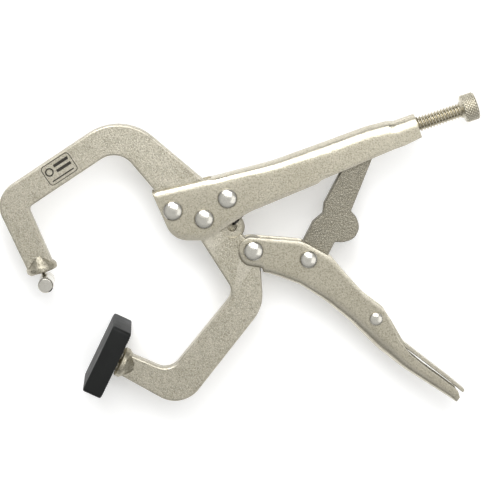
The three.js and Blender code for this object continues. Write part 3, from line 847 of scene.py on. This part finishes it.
@dataclass
class FixedJaw:
    """The upper C-shaped jaw, with its swivel bar foot and its etched mark."""

    hump: Point = (-32.6, 35.6)
    arm_angle: float = -66.5
    arm_length: float = 30.4
    edge: float = 0.75
    mark_centre: Point = (-57.0, 20.0)
    mark_angle: float = 33.0
    mark_size: Point = (13.0, 8.6)

    def outline(self) -> np.ndarray:
        """The bent bar, from its root between the cheeks to its foot."""
        elbow = place(PLAN.upper_face, self.arm_angle + 180, self.arm_length)
        corners = bent_bar(
            [(1.0, 1.5), self.hump, elbow, PLAN.upper_face],
            [(19.4, 11.4), (11.2, 11.2), (11.2, 10.4)],
            [(9, 21), (2.5, 10)],
        )
        return filleted(corners, closed=True)

    def tongue(self) -> np.ndarray:
        """The flat root round the two rivets, hidden between the cheeks."""
        corners = [(-19.6, 10, 1), (-14.8, -2, 4), (-10.5, -5, 3), (-6.6, 0, 2), (0, 6, 3)]
        corners += [(8, 3, 2), (14, 7.5, 3), (13.5, 13.5, 4), (0, 14.9, 4)]
        return filleted(corners, closed=True)

    def clearance(self) -> list[Surface]:
        """What the lower jaw's boss and root sweep out of this jaw's root."""
        corners = [(-14, -30, 0), (-8, -7, 1), (-4, -1, 1), (6, 1, 1), (12, 4, 1), (24, 4, 1)]
        swept = filleted([*corners, (24, -30, 0)], closed=True)
        return [post((0, 0), 7.0, 9, 9), plate(swept, 20, 0.02)]

    def build(self, finish: dict) -> None:
        """Makes the jaw, its cup, swivel and foot."""
        cup = Cup(PLAN.upper_face, PLAN.upper_facing)
        steel, bright = finish["forging"], finish["bright"]
        ring, stud = cup.ring(), cup.stud(4.1)
        arm = plate(self.outline(), PLAN.jaw_thickness, self.edge)
        body = piece("fixed_jaw_arm", "upper_handle", "nickel_forging", steel, arm, "fixed_jaw")
        change(body, Change.JOIN, [plate(self.tongue(), PLAN.jaw_thickness, self.edge)])
        change(body, Change.CUT, [cup.bore(), *self.clearance()])
        piece("fixed_jaw_cup", "upper_handle", "nickel_forging", steel, cup.surface())
        piece("fixed_jaw_ring", "upper_handle", "bright_steel", bright, ring, "upper_socket_ring")
        piece("fixed_jaw_stud", "upper_stud", "bright_steel", bright, stud, "upper_ball_stud")
        piece("swivel_bar", "bar_foot", "bright_steel", bright, self.bar(), "bar_foot")
        piece("etched_mark", "upper_handle", "nickel_forging", finish["etch"], self.mark())

    def bar(self) -> Surface:
        """The bar foot: a turned pin across the jaw with chamfered ends and a waist."""
        rows = [(0, -8), (2.6, -8), (3.1, -7.5), (3.1, -2.6), (3.0, -2.3), (3.0, 2.3), (3.1, 2.6)]
        rows += [(3.1, 7.5), (2.6, 8), (0, 8)]
        return turned(softened(rows, 0.22), (*PLAN.upper_point, 0), (0, 0, 1), 56)

    def mark(self) -> Surface:
        """A plain etched plate mark: a rounded frame with a disc and bars, no lettering."""
        long, tall = self.mark_size
        corners = [(-long / 2, -tall / 2, 1.6), (long / 2, -tall / 2, 1.6), (long / 2, tall / 2, 1.6)]
        corners.append((-long / 2, tall / 2, 1.6))
        path = filleted(placed(self.mark_centre, self.mark_angle, corners), closed=True, turn=9)
        made = self.strip(path, 0.32)
        disc = place(self.mark_centre, self.mark_angle, -4.0, 1.0)
        made = made.joined(self.strip(circle(disc, 1.75, 40), 0.6))
        bars = [(2.0, 2.1, 3.3, 1.2), (2.0, -0.2, 3.3, 1.2), (0.0, -2.8, 5.0, 0.55)]
        for u, v, half, width in bars:
            rows = [(u - half, v - width / 2, 0.2), (u + half, v - width / 2, 0.2)]
            rows += [(u + half, v + width / 2, 0.2), (u - half, v + width / 2, 0.2)]
            bar = filleted(placed(self.mark_centre, self.mark_angle, rows), closed=True, turn=30)
            made = made.joined(plate(bar, 0.06, 0.02, PLAN.jaw_thickness / 2 + 0.01))
        return made

    def strip(self, path: np.ndarray, width: float) -> Surface:
        """A flat band along a closed path: four edges of a thin section carried round it."""
        path = without_repeats(anticlockwise(path))
        step = inward(path) * width
        top = PLAN.jaw_thickness / 2 + 0.04
        rings = [(0, top - 0.06), (0, top), (1, top), (1, top - 0.06), (0, top - 0.06)]
        stacked = [np.column_stack([path + step * k, np.full(len(path), z)]) for k, z in rings[:-1]]
        count = len(path)
        faces = grid_faces(4, count, wrap=True).tolist()
        n = np.arange(count)
        m = (n + 1) % count
        faces += np.column_stack([3 * count + n, 3 * count + m, m, n]).tolist()
        return Surface(np.concatenate(stacked), faces, set(range(len(faces))))


def post(centre: Point, radius: float, low: float, height: float) -> Surface:
    """An upright cylinder, used to cut: low is how far it reaches below the middle plane."""
    rows = [(0, -low), (radius, -low), (radius, height), (0, height)]
    return turned(rows, (*centre, 0), (0, 0, 1), 72)


@dataclass
class LowerJaw:
    """The moving jaw, with its spring lug and its swivel pad."""

    elbow: Point = (17.2, -34.1)
    foot_angle: float = 152.8
    foot_length: float = 25.8
    foot_width: float = 10.0
    neck: float = 22.4
    edge: float = 0.75
    lug_radius: float = 5.0
    hole_radius: float = 1.9
    pad_half: float = 14.5
    pad_back: float = 1.3
    pad_thickness: float = 8.0

    def outline(self) -> np.ndarray:
        """The jaw's side shape: neck, elbow and foot, without its bosses."""
        foot, bend = self.foot_width / 2, self.foot_length
        x, y = self.elbow
        arm = [(bend - 5.8, foot + 0.6, 7), (1, foot - 0.4, 1.2), (1, 0.4 - foot, 1.2)]
        arm.append((bend + 5.8, -foot - 1.2, 12))
        corners = [(-4.5, -4, 1), (x - 5.2, y + 3.9, 6)]
        corners += placed(PLAN.lower_face, self.foot_angle + 180, arm)
        corners += [(self.neck + 1.3, y - 2.2, 16), (self.neck, PLAN.handle_pivot[1] - 5.5, 1.5)]
        corners += [(17.4, -9.1, 1), (13, -4.4, 2), (4, 4, 3)]
        return filleted(corners, closed=True)

    def build(self, finish: dict) -> None:
        """Makes the jaw, its cup, swivel and pad."""
        steel, bright = finish["forging"], finish["bright"]
        cup = Cup(PLAN.lower_face, PLAN.lower_facing)
        ring, stud = cup.ring(), cup.stud(4.7)
        arm = plate(self.outline(), PLAN.jaw_thickness, self.edge)
        body = piece("lower_jaw_arm", "lower_jaw", "nickel_forging", steel, arm, "lower_jaw")
        bosses = [((0, 0), 6.4), (PLAN.handle_pivot, 5.4), (PLAN.spring_hole, self.lug_radius)]
        rounds = [circle(centre, radius, 72) for centre, radius in bosses]
        change(body, Change.JOIN, [plate(path, PLAN.jaw_thickness, self.edge) for path in rounds])
        depth = PLAN.jaw_thickness / 2 - 1.2
        step = self.lug_radius - 0.6
        holes = [
            post(PLAN.spring_hole, self.hole_radius, 9, 9),
            post(PLAN.spring_hole, step, -depth, 9),
            post(PLAN.spring_hole, step, 9, -depth),
            post((0, 0), 2.4, 9, 9),
            post(PLAN.handle_pivot, 2.4, 9, 9),
        ]
        change(body, Change.CUT, [cup.bore(), *holes])
        piece("lower_jaw_cup", "lower_jaw", "nickel_forging", steel, cup.surface())
        piece("lower_jaw_ring", "lower_jaw", "bright_steel", bright, ring, "lower_socket_ring")
        piece("lower_jaw_stud", "lower_stud", "bright_steel", bright, stud, "lower_ball_stud")
        piece("pad_shoe", "pad", "black_pad", finish["pad"], self.cover(), "pad_cover")
        piece("pad_backing", "pad", "screw_zinc", finish["screw"], self.backing(), "pad_plate")

    def square(self, rings: list) -> Surface:
        """Rounded squares carried along the pad's axis.

        Args:
            rings: half side, corner radius and distance from the cup of each ring.

        Returns:
            The closed surface, its first and last rings filled.
        """
        u = np.array([*heading(PLAN.lower_facing), 0.0])
        v = np.array([-u[1], u[0], 0.0])
        w = np.array([0.0, 0.0, 1.0])
        angles = np.linspace(0, 2 * np.pi, 48, endpoint=False) + np.pi / 48
        turn = np.column_stack([np.cos(angles), np.sin(angles)])
        points = []
        for half, corner, along in rings:
            flat = np.sign(turn) * (half - corner) + corner * turn
            points.append(flat[:, :1] * v + flat[:, 1:] * w + along * u)
        return capped(np.stack(points) + np.array([*PLAN.lower_face, 0.0]))

    def cover(self) -> Surface:
        """The moulded shoe: soft-edged block with a recess in its back."""
        near, half = self.pad_back, self.pad_half
        far = near + self.pad_thickness
        recess = 11.3
        rings = [(recess, 1.0, near + 2.3), (recess, 1.0, near + 0.3), (recess + 0.3, 1.3, near)]
        radius = 0.8
        for a in np.radians([90, 60, 30, 0]):
            rings.append((half - radius * (1 - math.cos(a)), 1.5, near + radius * (1 - math.sin(a))))
        for a in np.radians([0, 30, 60, 90]):
            rings.append((half - radius * (1 - math.cos(a)), 1.5, far - radius * (1 - math.sin(a))))
        made = self.square(rings)
        # Rounded rims of the shoe get high edge values: scuffing plus a painted highlight.
        made.edge = np.repeat([0, 0, 0.4, 0.5, 0.9, 0.9, 0.3, 0.3, 0.9, 0.9, 0.4], 48)
        return made

    def backing(self) -> Surface:
        """The steel plate in the shoe's recess."""
        near, half = self.pad_back, 11.0
        rings = [(half - 0.2, 0.8, near + 0.02), (half, 1.0, near + 0.2), (half, 1.0, near + 1.8)]
        rings.append((half - 0.2, 0.8, near + 2.0))
        return self.square(rings)


# ------------------------------------------------------------------ handles


@dataclass
class Channel:
    """A pressed U-shaped channel between a web edge and an open edge."""

    web: np.ndarray
    lip: np.ndarray
    pairs: list[Point]
    web_from: float
    bend: float = 2.8
    stations: int = 150
    roll: float = 1.3
    grip_bend: float = 4.7
    grip_from: float = 0.3
    grip_over: float = 0.35
    cheek_points: int = 8
    arc_points: int = 6

    def sampled(self, path: np.ndarray, share: np.ndarray) -> np.ndarray:
        """Points at these shares of a path's length."""
        run = np.concatenate([[0], np.cumsum(np.linalg.norm(np.diff(path, axis=0), axis=1))])
        run /= run[-1]
        return np.column_stack([np.interp(share, run, path[:, i]) for i in (0, 1)])

    def surface(self) -> Surface:
        """The channel's closed shell: outer skin, inner skin and the rims between them.

        At each station a straight line runs from the web edge to the open edge. The section
        goes up one cheek, round a quarter circle, across the web and down the other cheek;
        the inner section is a sheet's thickness inside it. Where the web has not begun, the
        cheeks end in a shallow rolled edge instead.

        Returns:
            The closed surface.
        """
        share = np.linspace(0, 1, self.stations)
        knots = np.array(self.pairs)
        web = self.sampled(self.web, share)
        lip = self.sampled(self.lip, np.interp(share, knots[:, 0], knots[:, 1]))
        span = lip - web
        depth = np.linalg.norm(span, axis=1)
        way = span / depth[:, None]
        half, sheet = PLAN.channel_outside / 2, PLAN.sheet
        grown = np.clip((share - self.web_from) / 0.02, 0, 1)[:, None]
        grip = np.clip((share - self.grip_from) / self.grip_over, 0, 1)
        round_ = self.bend + (self.grip_bend - self.bend) * grip
        bend = np.minimum(round_, 0.55 * depth)[:, None]
        arc = np.linspace(0, np.pi / 2, self.arc_points + 1)[None, 1:]
        cheek = bend + (depth[:, None] - bend) * np.linspace(1, 0, self.cheek_points)[None]
        roll = self.roll + (bend - self.roll) * grown
        middle = np.array([[0.5, 0.0]])
        inner = np.maximum(bend - sheet, 0.2)
        outer_d = [cheek, bend * (1 - np.sin(arc)), 0 * middle * bend]
        outer_z = [half + 0 * cheek, half - roll * (1 - np.cos(arc)), middle * (half - bend)]
        curl = bend - inner * np.sin(arc)
        inner_d = [cheek, outer_d[1] + (curl - outer_d[1]) * grown, sheet + outer_d[2]]
        drop = (bend - sheet) * (1 - np.cos(arc)) * grown
        inner_z = [half - sheet + 0 * cheek, half - sheet - drop, outer_z[2]]
        skins = []
        for across, height in ((outer_d, outer_z), (inner_d, inner_z)):
            d, z = np.concatenate(across, axis=1), np.concatenate(height, axis=1)
            d = np.concatenate([d, d[:, -2::-1]], axis=1)
            z = np.concatenate([z, -z[:, -2::-1]], axis=1)
            xy = web[:, None] + d[..., None] * way[:, None]
            skins.append(np.concatenate([xy, z[..., None]], axis=2))
        columns = d.shape[1]
        quads = grid_faces(self.stations, columns)
        station, column = quads[:, 0] // columns, quads[:, 0] % columns
        side = self.cheek_points + self.arc_points
        over = (column >= side - 1) & (column < columns - side)
        gone = (share[station] < self.web_from) & over
        # Outer bends and web get edge value 0.45 and the open rims 0.6: polish wear plus a painted
        # highlight along the rounded band.
        edge = np.zeros((2, self.stations, columns))
        edge[0, :, self.cheek_points : columns - self.cheek_points] = 0.45
        edge[:, :, [0, -1]] = 0.6
        faces = self.walled(quads[~gone], self.stations * columns)
        used, faces = np.unique(faces, return_inverse=True)
        points = np.stack(skins).reshape(-1, 3)[used]
        return Surface(points, faces.reshape(-1, 4).tolist(), set(), edge.ravel()[used])

    def walled(self, quads: np.ndarray, count: int) -> np.ndarray:
        """The outer skin, the inner skin turned over, and walls along edges used once."""
        sides = np.stack([quads, np.roll(quads, -1, axis=1)], axis=2).reshape(-1, 2)
        ends = np.sort(sides, axis=1)
        _, first, uses = np.unique(ends, axis=0, return_index=True, return_counts=True)
        a, b = sides[first[uses == 1]].T
        walls = np.column_stack([b, a, a + count, b + count])
        return np.concatenate([quads, quads[:, ::-1] + count, walls])

    def build(self, name: str, body: str, material: bpy.types.Material) -> None:
        """Makes the channel, which stands for its body's handle, and softens its rims."""
        made = piece(name, body, "nickel_sheet", material, self.surface(), body)
        rim = made.modifiers.new("rim", "BEVEL")
        rim.width = 0.25 * MM
        rim.segments = 2
        rim.limit_method = "ANGLE"
        rim.angle_limit = math.radians(50)


@dataclass
class UpperHandle:
    """The upper handle, with its threaded block, screw and knob."""

    grip: float = 12.4
    nut_height: float = 9.4
    screw_radius: float = 3.175
    pitch: float = 1.27
    exposed: float = 19.0
    tip: float = 78.2
    knob_radius: float = 5.6
    knob_length: float = 6.0
    knurl: int = 24

    def channel(self) -> Channel:
        """The pressed channel: web above, open below."""
        end, nut = PLAN.handle_end, PLAN.handle_end - PLAN.nut_length
        top = self.grip / 2 - 0.2
        roof = [(33, 4.8, 60), (nut - 8.5, top, 14), (nut, top - 0.6, 4)]
        roof += [(nut + 2.4, self.nut_height / 2 - 0.2, 4), (end, self.nut_height / 2, 1)]
        web = [(-20.6, 10.6, 0), (-1.6, 15, 60), *PLAN.at_screw(roof)]
        under = [(nut - 1, -self.grip / 2 + 0.4, 2), (nut + 4, -self.nut_height / 2 - 1, 2)]
        under.append((end, -self.nut_height / 2, 1))
        lip = [(-20.4, 9.8, 0), (-12.4, -8.6, 9), (0, -8.6, 5), (14.4, 0.4, 8), (18.4, 2.8, 12)]
        lip += [(45.2, 13.8, 1), (46.6, 15.2, 1), *PLAN.at_screw(under)]
        pairs = [(0, 0), (0.1, 0.17), (0.2, 0.27), (0.5, 0.535), (1, 1)]
        edges = [filleted(path, closed=False) for path in (web, lip)]
        return Channel(*edges, pairs, web_from=0.215)

    def block(self) -> Surface:
        """The threaded block that closes the channel's end."""
        end, nut = PLAN.handle_end, PLAN.handle_end - PLAN.nut_length
        half = self.nut_height / 2 - 0.15
        rows = [(nut, -half - 0.7, 0.5), (nut + 4, -half - 0.5, 2), (end - 0.3, -half, 0.8)]
        rows += [(end - 0.3, half - 0.2, 0.8), (nut + 2.4, half - 0.4, 3), (nut, half + 0.3, 0.5)]
        width = PLAN.channel_outside - 2 * PLAN.sheet + 0.02
        return plate(filleted(PLAN.at_screw(rows), closed=True), width, 0.05)

    def about_screw(self, radius: np.ndarray, s: np.ndarray, a: np.ndarray) -> np.ndarray:
        """Points at a radius and an angle a round the screw's axis, s along it."""
        w = np.array([*heading(PLAN.screw_angle), 0.0])
        u = np.array([-w[1], w[0], 0.0])
        v = np.array([0.0, 0.0, 1.0])
        round_ = np.cos(a)[..., None] * u + np.sin(a)[..., None] * v
        return np.array([*PLAN.on_screw(), 0.0]) + s[..., None] * w + radius[..., None] * round_

    def thread(self) -> Surface:
        """The screw: a cylinder whose radius falls towards each root.

        At a distance s along and an angle a round, the height in the thread is a triangle
        wave of s / pitch - a / 2 pi, flattened at crest and root; the tip is chamfered.
        """
        start, end = self.tip, PLAN.handle_end + self.exposed
        along = np.arange(start, end, self.pitch / 10)
        angle = np.linspace(0, 2 * np.pi, 48, endpoint=False)
        s, a = np.meshgrid(along, angle, indexing="ij")
        wave = np.abs(2 * ((s / self.pitch - a / (2 * np.pi)) % 1.0) - 1)
        height = np.clip((wave - 0.12) / 0.76, 0, 1)
        plain = np.clip((s - (end - 1.2)) / 0.3, 0, 1)
        radius = self.screw_radius - 0.8 * (1 - height) * (1 - plain) - 0.3 * plain
        radius = np.minimum(radius, self.screw_radius - 1.0 + (s - start))
        # Thread crests carry the edge value: polish wear plus a painted highlight.
        return capped(self.about_screw(radius, s, a), height.ravel())

    def knob(self) -> Surface:
        """The knob: crossed helical grooves fade out at its chamfers and its end face.

        The groove depth is the larger of two V waves that run round the knob both ways.
        """
        shape = [(3.2, -0.9), (3.4, 0.0), (4.7, 0.0), (5.0, 0.12), (self.knob_radius, 0.7)]
        side = np.linspace(0.85, self.knob_length - 0.85, 44)
        shape += [(self.knob_radius, s) for s in side]
        shape += [(self.knob_radius, self.knob_length - 0.7), (5.0, self.knob_length - 0.1)]
        shape += [(4.8, self.knob_length), (0.4, self.knob_length)]
        rows = np.array(shape)
        count = self.knurl * 8
        angle = np.linspace(0, 2 * np.pi, count, endpoint=False)
        s, a = np.meshgrid(rows[:, 1], angle, indexing="ij")
        turns = self.knurl / (2 * np.pi)
        lean = s * turns / self.knob_radius
        first = np.abs(2 * ((a * turns + lean) % 1.0) - 1)
        second = np.abs(2 * ((a * turns - lean) % 1.0) - 1)
        groove = np.clip((np.maximum(first, second) - 0.55) / 0.45, 0, 1)
        cut_in = ((s > 0.6) & (s < self.knob_length - 0.6)).astype(float)
        radius = rows[:, :1] - 0.42 * groove * cut_in
        start = PLAN.handle_end + self.exposed
        # Knurl ridges carry the edge value: polish wear plus a painted highlight.
        return capped(self.about_screw(radius, s + start, a), (1 - groove).ravel() * 0.7)

    def build(self, finish: dict) -> None:
        """Makes the handle, its block, screw and knob."""
        self.channel().build("upper_grip", "upper_handle", finish["sheet"])
        piece("screw_block", "upper_handle", "nickel_sheet", finish["sheet"], self.block())
        piece("screw_shank", "screw", "screw_zinc", finish["screw"], self.thread(), "adjusting_screw")
        piece("screw_knob", "knob", "screw_zinc", finish["screw"], self.knob(), "adjusting_knob")


@dataclass
class LowerHandle:
    """The lower handle, with its link and release lever."""

    nose: float = 5.7

    def channel(self) -> Channel:
        """The pressed channel: web below, open above and at its nose."""
        x, y = PLAN.handle_pivot
        r, end = self.nose, PLAN.lower_length
        under = [(15.1, -2.6, 10), (23.5, -0.4, 12), (36, 0.1, 30), (48.5, -0.9, 30)]
        under += [(65.2, -3.6, 30), (78, -4, 30), (end, -2.6, 0)]
        web = [(x - r, y - 0.4, 0), (x - r, y - r, r), (x + 3.5, y - r - 1.4, 0.8)]
        web += [(x + 3.9, y - r - 3, 0.8), *PLAN.at_lower(under)]
        above = [(13.9, 14.4, 12), (27, 15.8, 8), (38.6, 12.9, 12), (47, 11.2, 10), (57.5, 11, 6)]
        above += [(62.8, 8.2, 6), (69.3, 4.6, 6), (76.5, 2.4, 8), (84, 1.9, 20), (93, 1.8, 10)]
        above += [(end - 2.2, 1.6, 1.5), (end, -0.2, 0)]
        lip = [(x - r, y + 0.4, 0), (x - r, y + r, r), *PLAN.at_lower(above)]
        pairs = [(0, 0), (0.1, 0.1), (0.16, 0.2), (0.4, 0.43), (1, 1)]
        edges = [filleted(path, closed=False) for path in (web, lip)]
        return Channel(*edges, pairs, web_from=0.135, bend=2.4, stations=190)

    def link(self) -> Surface:
        """The toggle link, with its rounded lobe."""
        x, y = np.subtract(PLAN.link_top, PLAN.link_pivot)
        angle = math.degrees(math.atan2(y, x))
        length = math.hypot(x, y)
        rows = [(-5.2, 4.9, 5), (-5.2, -6.5, 5), (10.6, -6.5, 0.8), (12.0, -9.5, 3), (15.0, -12.9, 6)]
        rows += [(20.4, -12.9, 6), (23.6, -9.4, 4), (24.4, -6.6, 1.2), (length + 4.1, -4.1, 4.1)]
        rows += [(length + 4.1, 4.1, 4.1), (22.4, 4.3, 2), (18.6, 2.9, 1.4), (13.9, 4.9, 1.4)]
        outline = filleted(placed(PLAN.link_pivot, angle, rows), closed=True)
        return plate(outline, PLAN.link_thickness, 0.45)

    def lever(self) -> Surface:
        """The release lever: a nose, a hub and a thin tail along the handle."""
        u, v = PLAN.lever_pivot_uv
        end = PLAN.lower_length + 0.4
        rows = [(u - 10.4, v + 0.4, 1.2), (u - 4, v - 3.4, 3), (u + 3.6, v - 3.6, 3), (71.5, 3.3, 8)]
        rows += [(80, 3.1, 20), (96, 2.5, 10), (end, 1.9, 0.3), (end, 3.3, 0.3), (96, 3.9, 10)]
        rows += [(80, 4.5, 20), (71.5, 4.8, 8), (u + 5, v + 3.2, 3), (u - 4, v + 3.4, 3)]
        rows.append((u - 9.8, v + 3, 1.2))
        return plate(filleted(PLAN.at_lower(rows), closed=True), 5.4, 0.3)

    def build(self, finish: dict) -> None:
        """Makes the handle, link and lever."""
        sheet = finish["sheet"]
        self.channel().build("lower_grip", "lower_handle", sheet)
        piece("link_bar", "toggle_link", "link_steel", finish["link"], self.link(), "toggle_link")
        piece("lever_tail", "release_lever", "nickel_sheet", sheet, self.lever(), "release_lever")


@dataclass
class Rivets:
    """The domed rivets through both handles."""

    seat: float = 5.0

    def surface(self, centre: Point, shank: float, head: float, height: float) -> Surface:
        """A rivet: shank, and on each side a dome that is part of a circle's arc."""
        angles = np.linspace(0, np.pi / 2, 12)
        brim = 0.35
        rise = height - brim
        dome = [(head * math.cos(a), self.seat + brim + rise * math.sin(a)) for a in angles]
        dome[-1] = (0, dome[-1][1])
        upper = [(shank, self.seat), (head - 0.15, self.seat), (head, self.seat + 0.12), *dome]
        lower = [(r, -along) for r, along in reversed(upper)]
        return turned([*lower, *upper], (*centre, 0), (0, 0, 1), 72)

    def build(self, finish: dict) -> None:
        """Makes every rivet."""
        large, small = (2.3, 4.0, 1.9), (1.5, 2.7, 1.2)
        rows = [
            ("front_rivet", "upper_handle", PLAN.front_rivet, large, "front_jaw_rivet"),
            ("rear_rivet", "upper_handle", PLAN.rear_rivet, large, "rear_jaw_rivet"),
            ("pivot_rivet", "upper_handle", (0, 0), large, "main_pivot_rivet"),
            ("handle_rivet", "lower_jaw", PLAN.handle_pivot, large, "handle_pivot_rivet"),
            ("toggle_rivet", "lower_handle", PLAN.link_pivot, (2.3, 3.6, 1.9), "link_rivet"),
            ("tail_rivet", "lower_handle", PLAN.lever_pivot, small, "lever_rivet"),
        ]
        for name, body, centre, sizes, node in rows:
            piece(name, body, "bright_steel", finish["bright"], self.surface(centre, *sizes), node)


@dataclass
class ReturnSpring:
    """The wound return spring between the lower jaw's lug and the upper handle's tab."""

    angle: float = 45.0
    length: float = 33.0
    coil_start: float = 12.5
    coil_length: float = 17.5
    coil_radius: float = 1.78
    wire: float = 0.4
    turns: float = 16.0

    def path(self) -> np.ndarray:
        """The wire's line: hook, straight leg, helix, straight leg and end hook.

        The helix turns about the spring's axis at a steady pitch, and its radius grows from
        nought over the first half turn and back to nought over the last.
        """
        s = np.linspace(self.coil_start - 0.6, self.coil_start + self.coil_length + 0.6, 420)
        share = (s - s[0]) / (s[-1] - s[0])
        around = 2 * np.pi * self.turns * share
        ramp = np.clip(np.minimum(share, 1 - share) * self.turns * 2, 0, 1)
        radius = self.coil_radius * ramp * ramp * (3 - 2 * ramp)
        coil = np.column_stack([s, radius * np.cos(around), radius * np.sin(around)])
        lead = np.linspace(3.2, s[0] - 0.3, 12)
        legs = np.column_stack([lead, np.zeros(12), np.zeros(12)])
        tail = np.linspace(s[-1] + 0.3, self.length - 1.9, 8)
        tails = np.column_stack([tail, np.zeros(8), np.zeros(8)])
        return np.concatenate([legs, coil, tails])

    def hook(self) -> np.ndarray:
        """The front hook: an ellipse through the lug's hole, across its thickness."""
        a = np.linspace(-0.1 * np.pi, 1.75 * np.pi, 44)
        along = 2.5 + 1.75 * np.cos(a)
        across = 0.25 * np.sin(a / 2)
        return np.column_stack([along, across, 2.35 * np.sin(a)])

    def placed(self, path: np.ndarray) -> np.ndarray:
        """A path given along the spring's axis, put into the design frame."""
        u, v = heading(self.angle), heading(self.angle + 90)
        xy = np.array(PLAN.spring_hole) + path[:, :1] * u + path[:, 1:2] * v
        return np.column_stack([xy, path[:, 2]])

    def build(self, finish: dict) -> None:
        """Makes the spring in place between the two bodies, as one mesh that rides neither."""
        surface = tube(self.placed(self.path()), self.wire)
        surface = surface.joined(tube(self.placed(self.hook()), self.wire))
        made = linked("return_coil", as_mesh("return_coil", surface))
        made.data.materials.append(finish["wire"])
        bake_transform(made)
        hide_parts("return_spring")
        log.info("return_coil: %d faces, blended", len(made.data.polygons))


# ------------------------------------------------------------------ studio


@dataclass
class Studio:
    """Plain pale floor, soft lights and the camera."""

    distance: float = 0.8
    field: float = 0.2
    sensor: float = 36.0
    lean: tuple[float, float, float] = (-0.05, 0.16, 1.0)
    aim: Point = (18.4, -13.4)

    def build(self) -> None:
        """Makes the floor, the lights and the camera."""
        self.floor()
        self.lights()
        self.camera()

    def floor(self) -> None:
        """A wide pale plane under the tool."""
        mesh = bpy.data.meshes.new("studio_floor")
        size = 3.0
        corners = [(-size, -size, 0), (size, -size, 0), (size, size, 0), (-size, size, 0)]
        mesh.from_pydata(corners, [], [(0, 1, 2, 3)])
        material, _, shader = blank_material("studio_floor")
        shader.inputs["Base Color"].default_value = (0.93, 0.93, 0.93, 1)
        shader.inputs["Roughness"].default_value = 0.9
        shader.inputs["Specular IOR Level"].default_value = 0.1
        shader.inputs["Emission Color"].default_value = (1, 1, 1, 1)
        shader.inputs["Emission Strength"].default_value = 0.22
        mesh.materials.append(material)
        linked("studio_floor", mesh)

    def area(self, name: str, where: tuple, size: float, power: float) -> None:
        """One square area light, aimed at the tool."""
        light = bpy.data.lights.new(name, "AREA")
        light.size = size
        light.energy = power
        lamp = linked(name, light)
        lamp.location = where
        lamp.rotation_euler = Vector(where).to_track_quat("Z", "Y").to_euler()

    def lights(self) -> None:
        """A soft key from the upper left, a fill and a pale surround."""
        self.area("key", (-0.25, 0.95, 0.85), 0.8, 8.5)
        self.area("top", (0.08, 0.28, 0.6), 0.4, 1.5)
        self.area("fill", (0.75, -0.25, 0.95), 0.8, 1.5)
        world = bpy.data.worlds.new("surround")
        world.use_nodes = True
        g = Graph(world.node_tree)
        way = g.add("ShaderNodeTexCoord").outputs["Generated"]
        parts = g.feed(g.add("ShaderNodeSeparateXYZ"), Vector=way)
        level = g.between(parts.outputs["Z"], 0.0, 0.85, 0.0, 1.0)
        colour = g.tint(level, (0.16, 0.16, 0.15, 1), (1.0, 1.0, 0.99, 1))
        g.feed(world.node_tree.nodes["Background"], Color=colour, Strength=0.72)
        bpy.context.scene.world = world
        bpy.context.scene.view_settings.view_transform = "Standard"

    def camera(self) -> None:
        """A long lens above the tool, leaning a little towards the upper handle's side."""
        data = bpy.data.cameras.new("camera")
        data.sensor_width = self.sensor
        data.lens = self.sensor * self.distance / self.field
        data.clip_start = 0.01
        eye = linked("camera", data)
        target = Vector((self.aim[0] * MM, self.aim[1] * MM, 0)) + Vector(PIVOT)
        way = Vector(self.lean).normalized()
        side = Vector((0, 1, 0)).cross(way).normalized()
        eye.matrix_world = matrix_from(side, way.cross(side), way, target + way * self.distance)
        bpy.context.scene.camera = eye


def matrix_from(x: Vector, y: Vector, z: Vector, origin: Vector) -> Matrix:
    """The placement whose axes are x, y and z."""
    turn = Matrix((x, y, z)).transposed().to_4x4()
    turn.translation = origin
    return turn


def main() -> None:
    """Builds each sub-assembly in order, then the studio."""
    logging.basicConfig(level=logging.INFO, format="%(name)s %(message)s")
    finish = {name: kind.build() for name, kind in FINISHES.items()}
    finish["pad"] = PadFinish().build()
    for assembly in (FixedJaw(), LowerJaw(), UpperHandle(), LowerHandle(), Rivets(), ReturnSpring()):
        assembly.build(finish)
    Studio().build()
    bpy.context.view_layer.update()


if __name__ == "__main__":
    main()
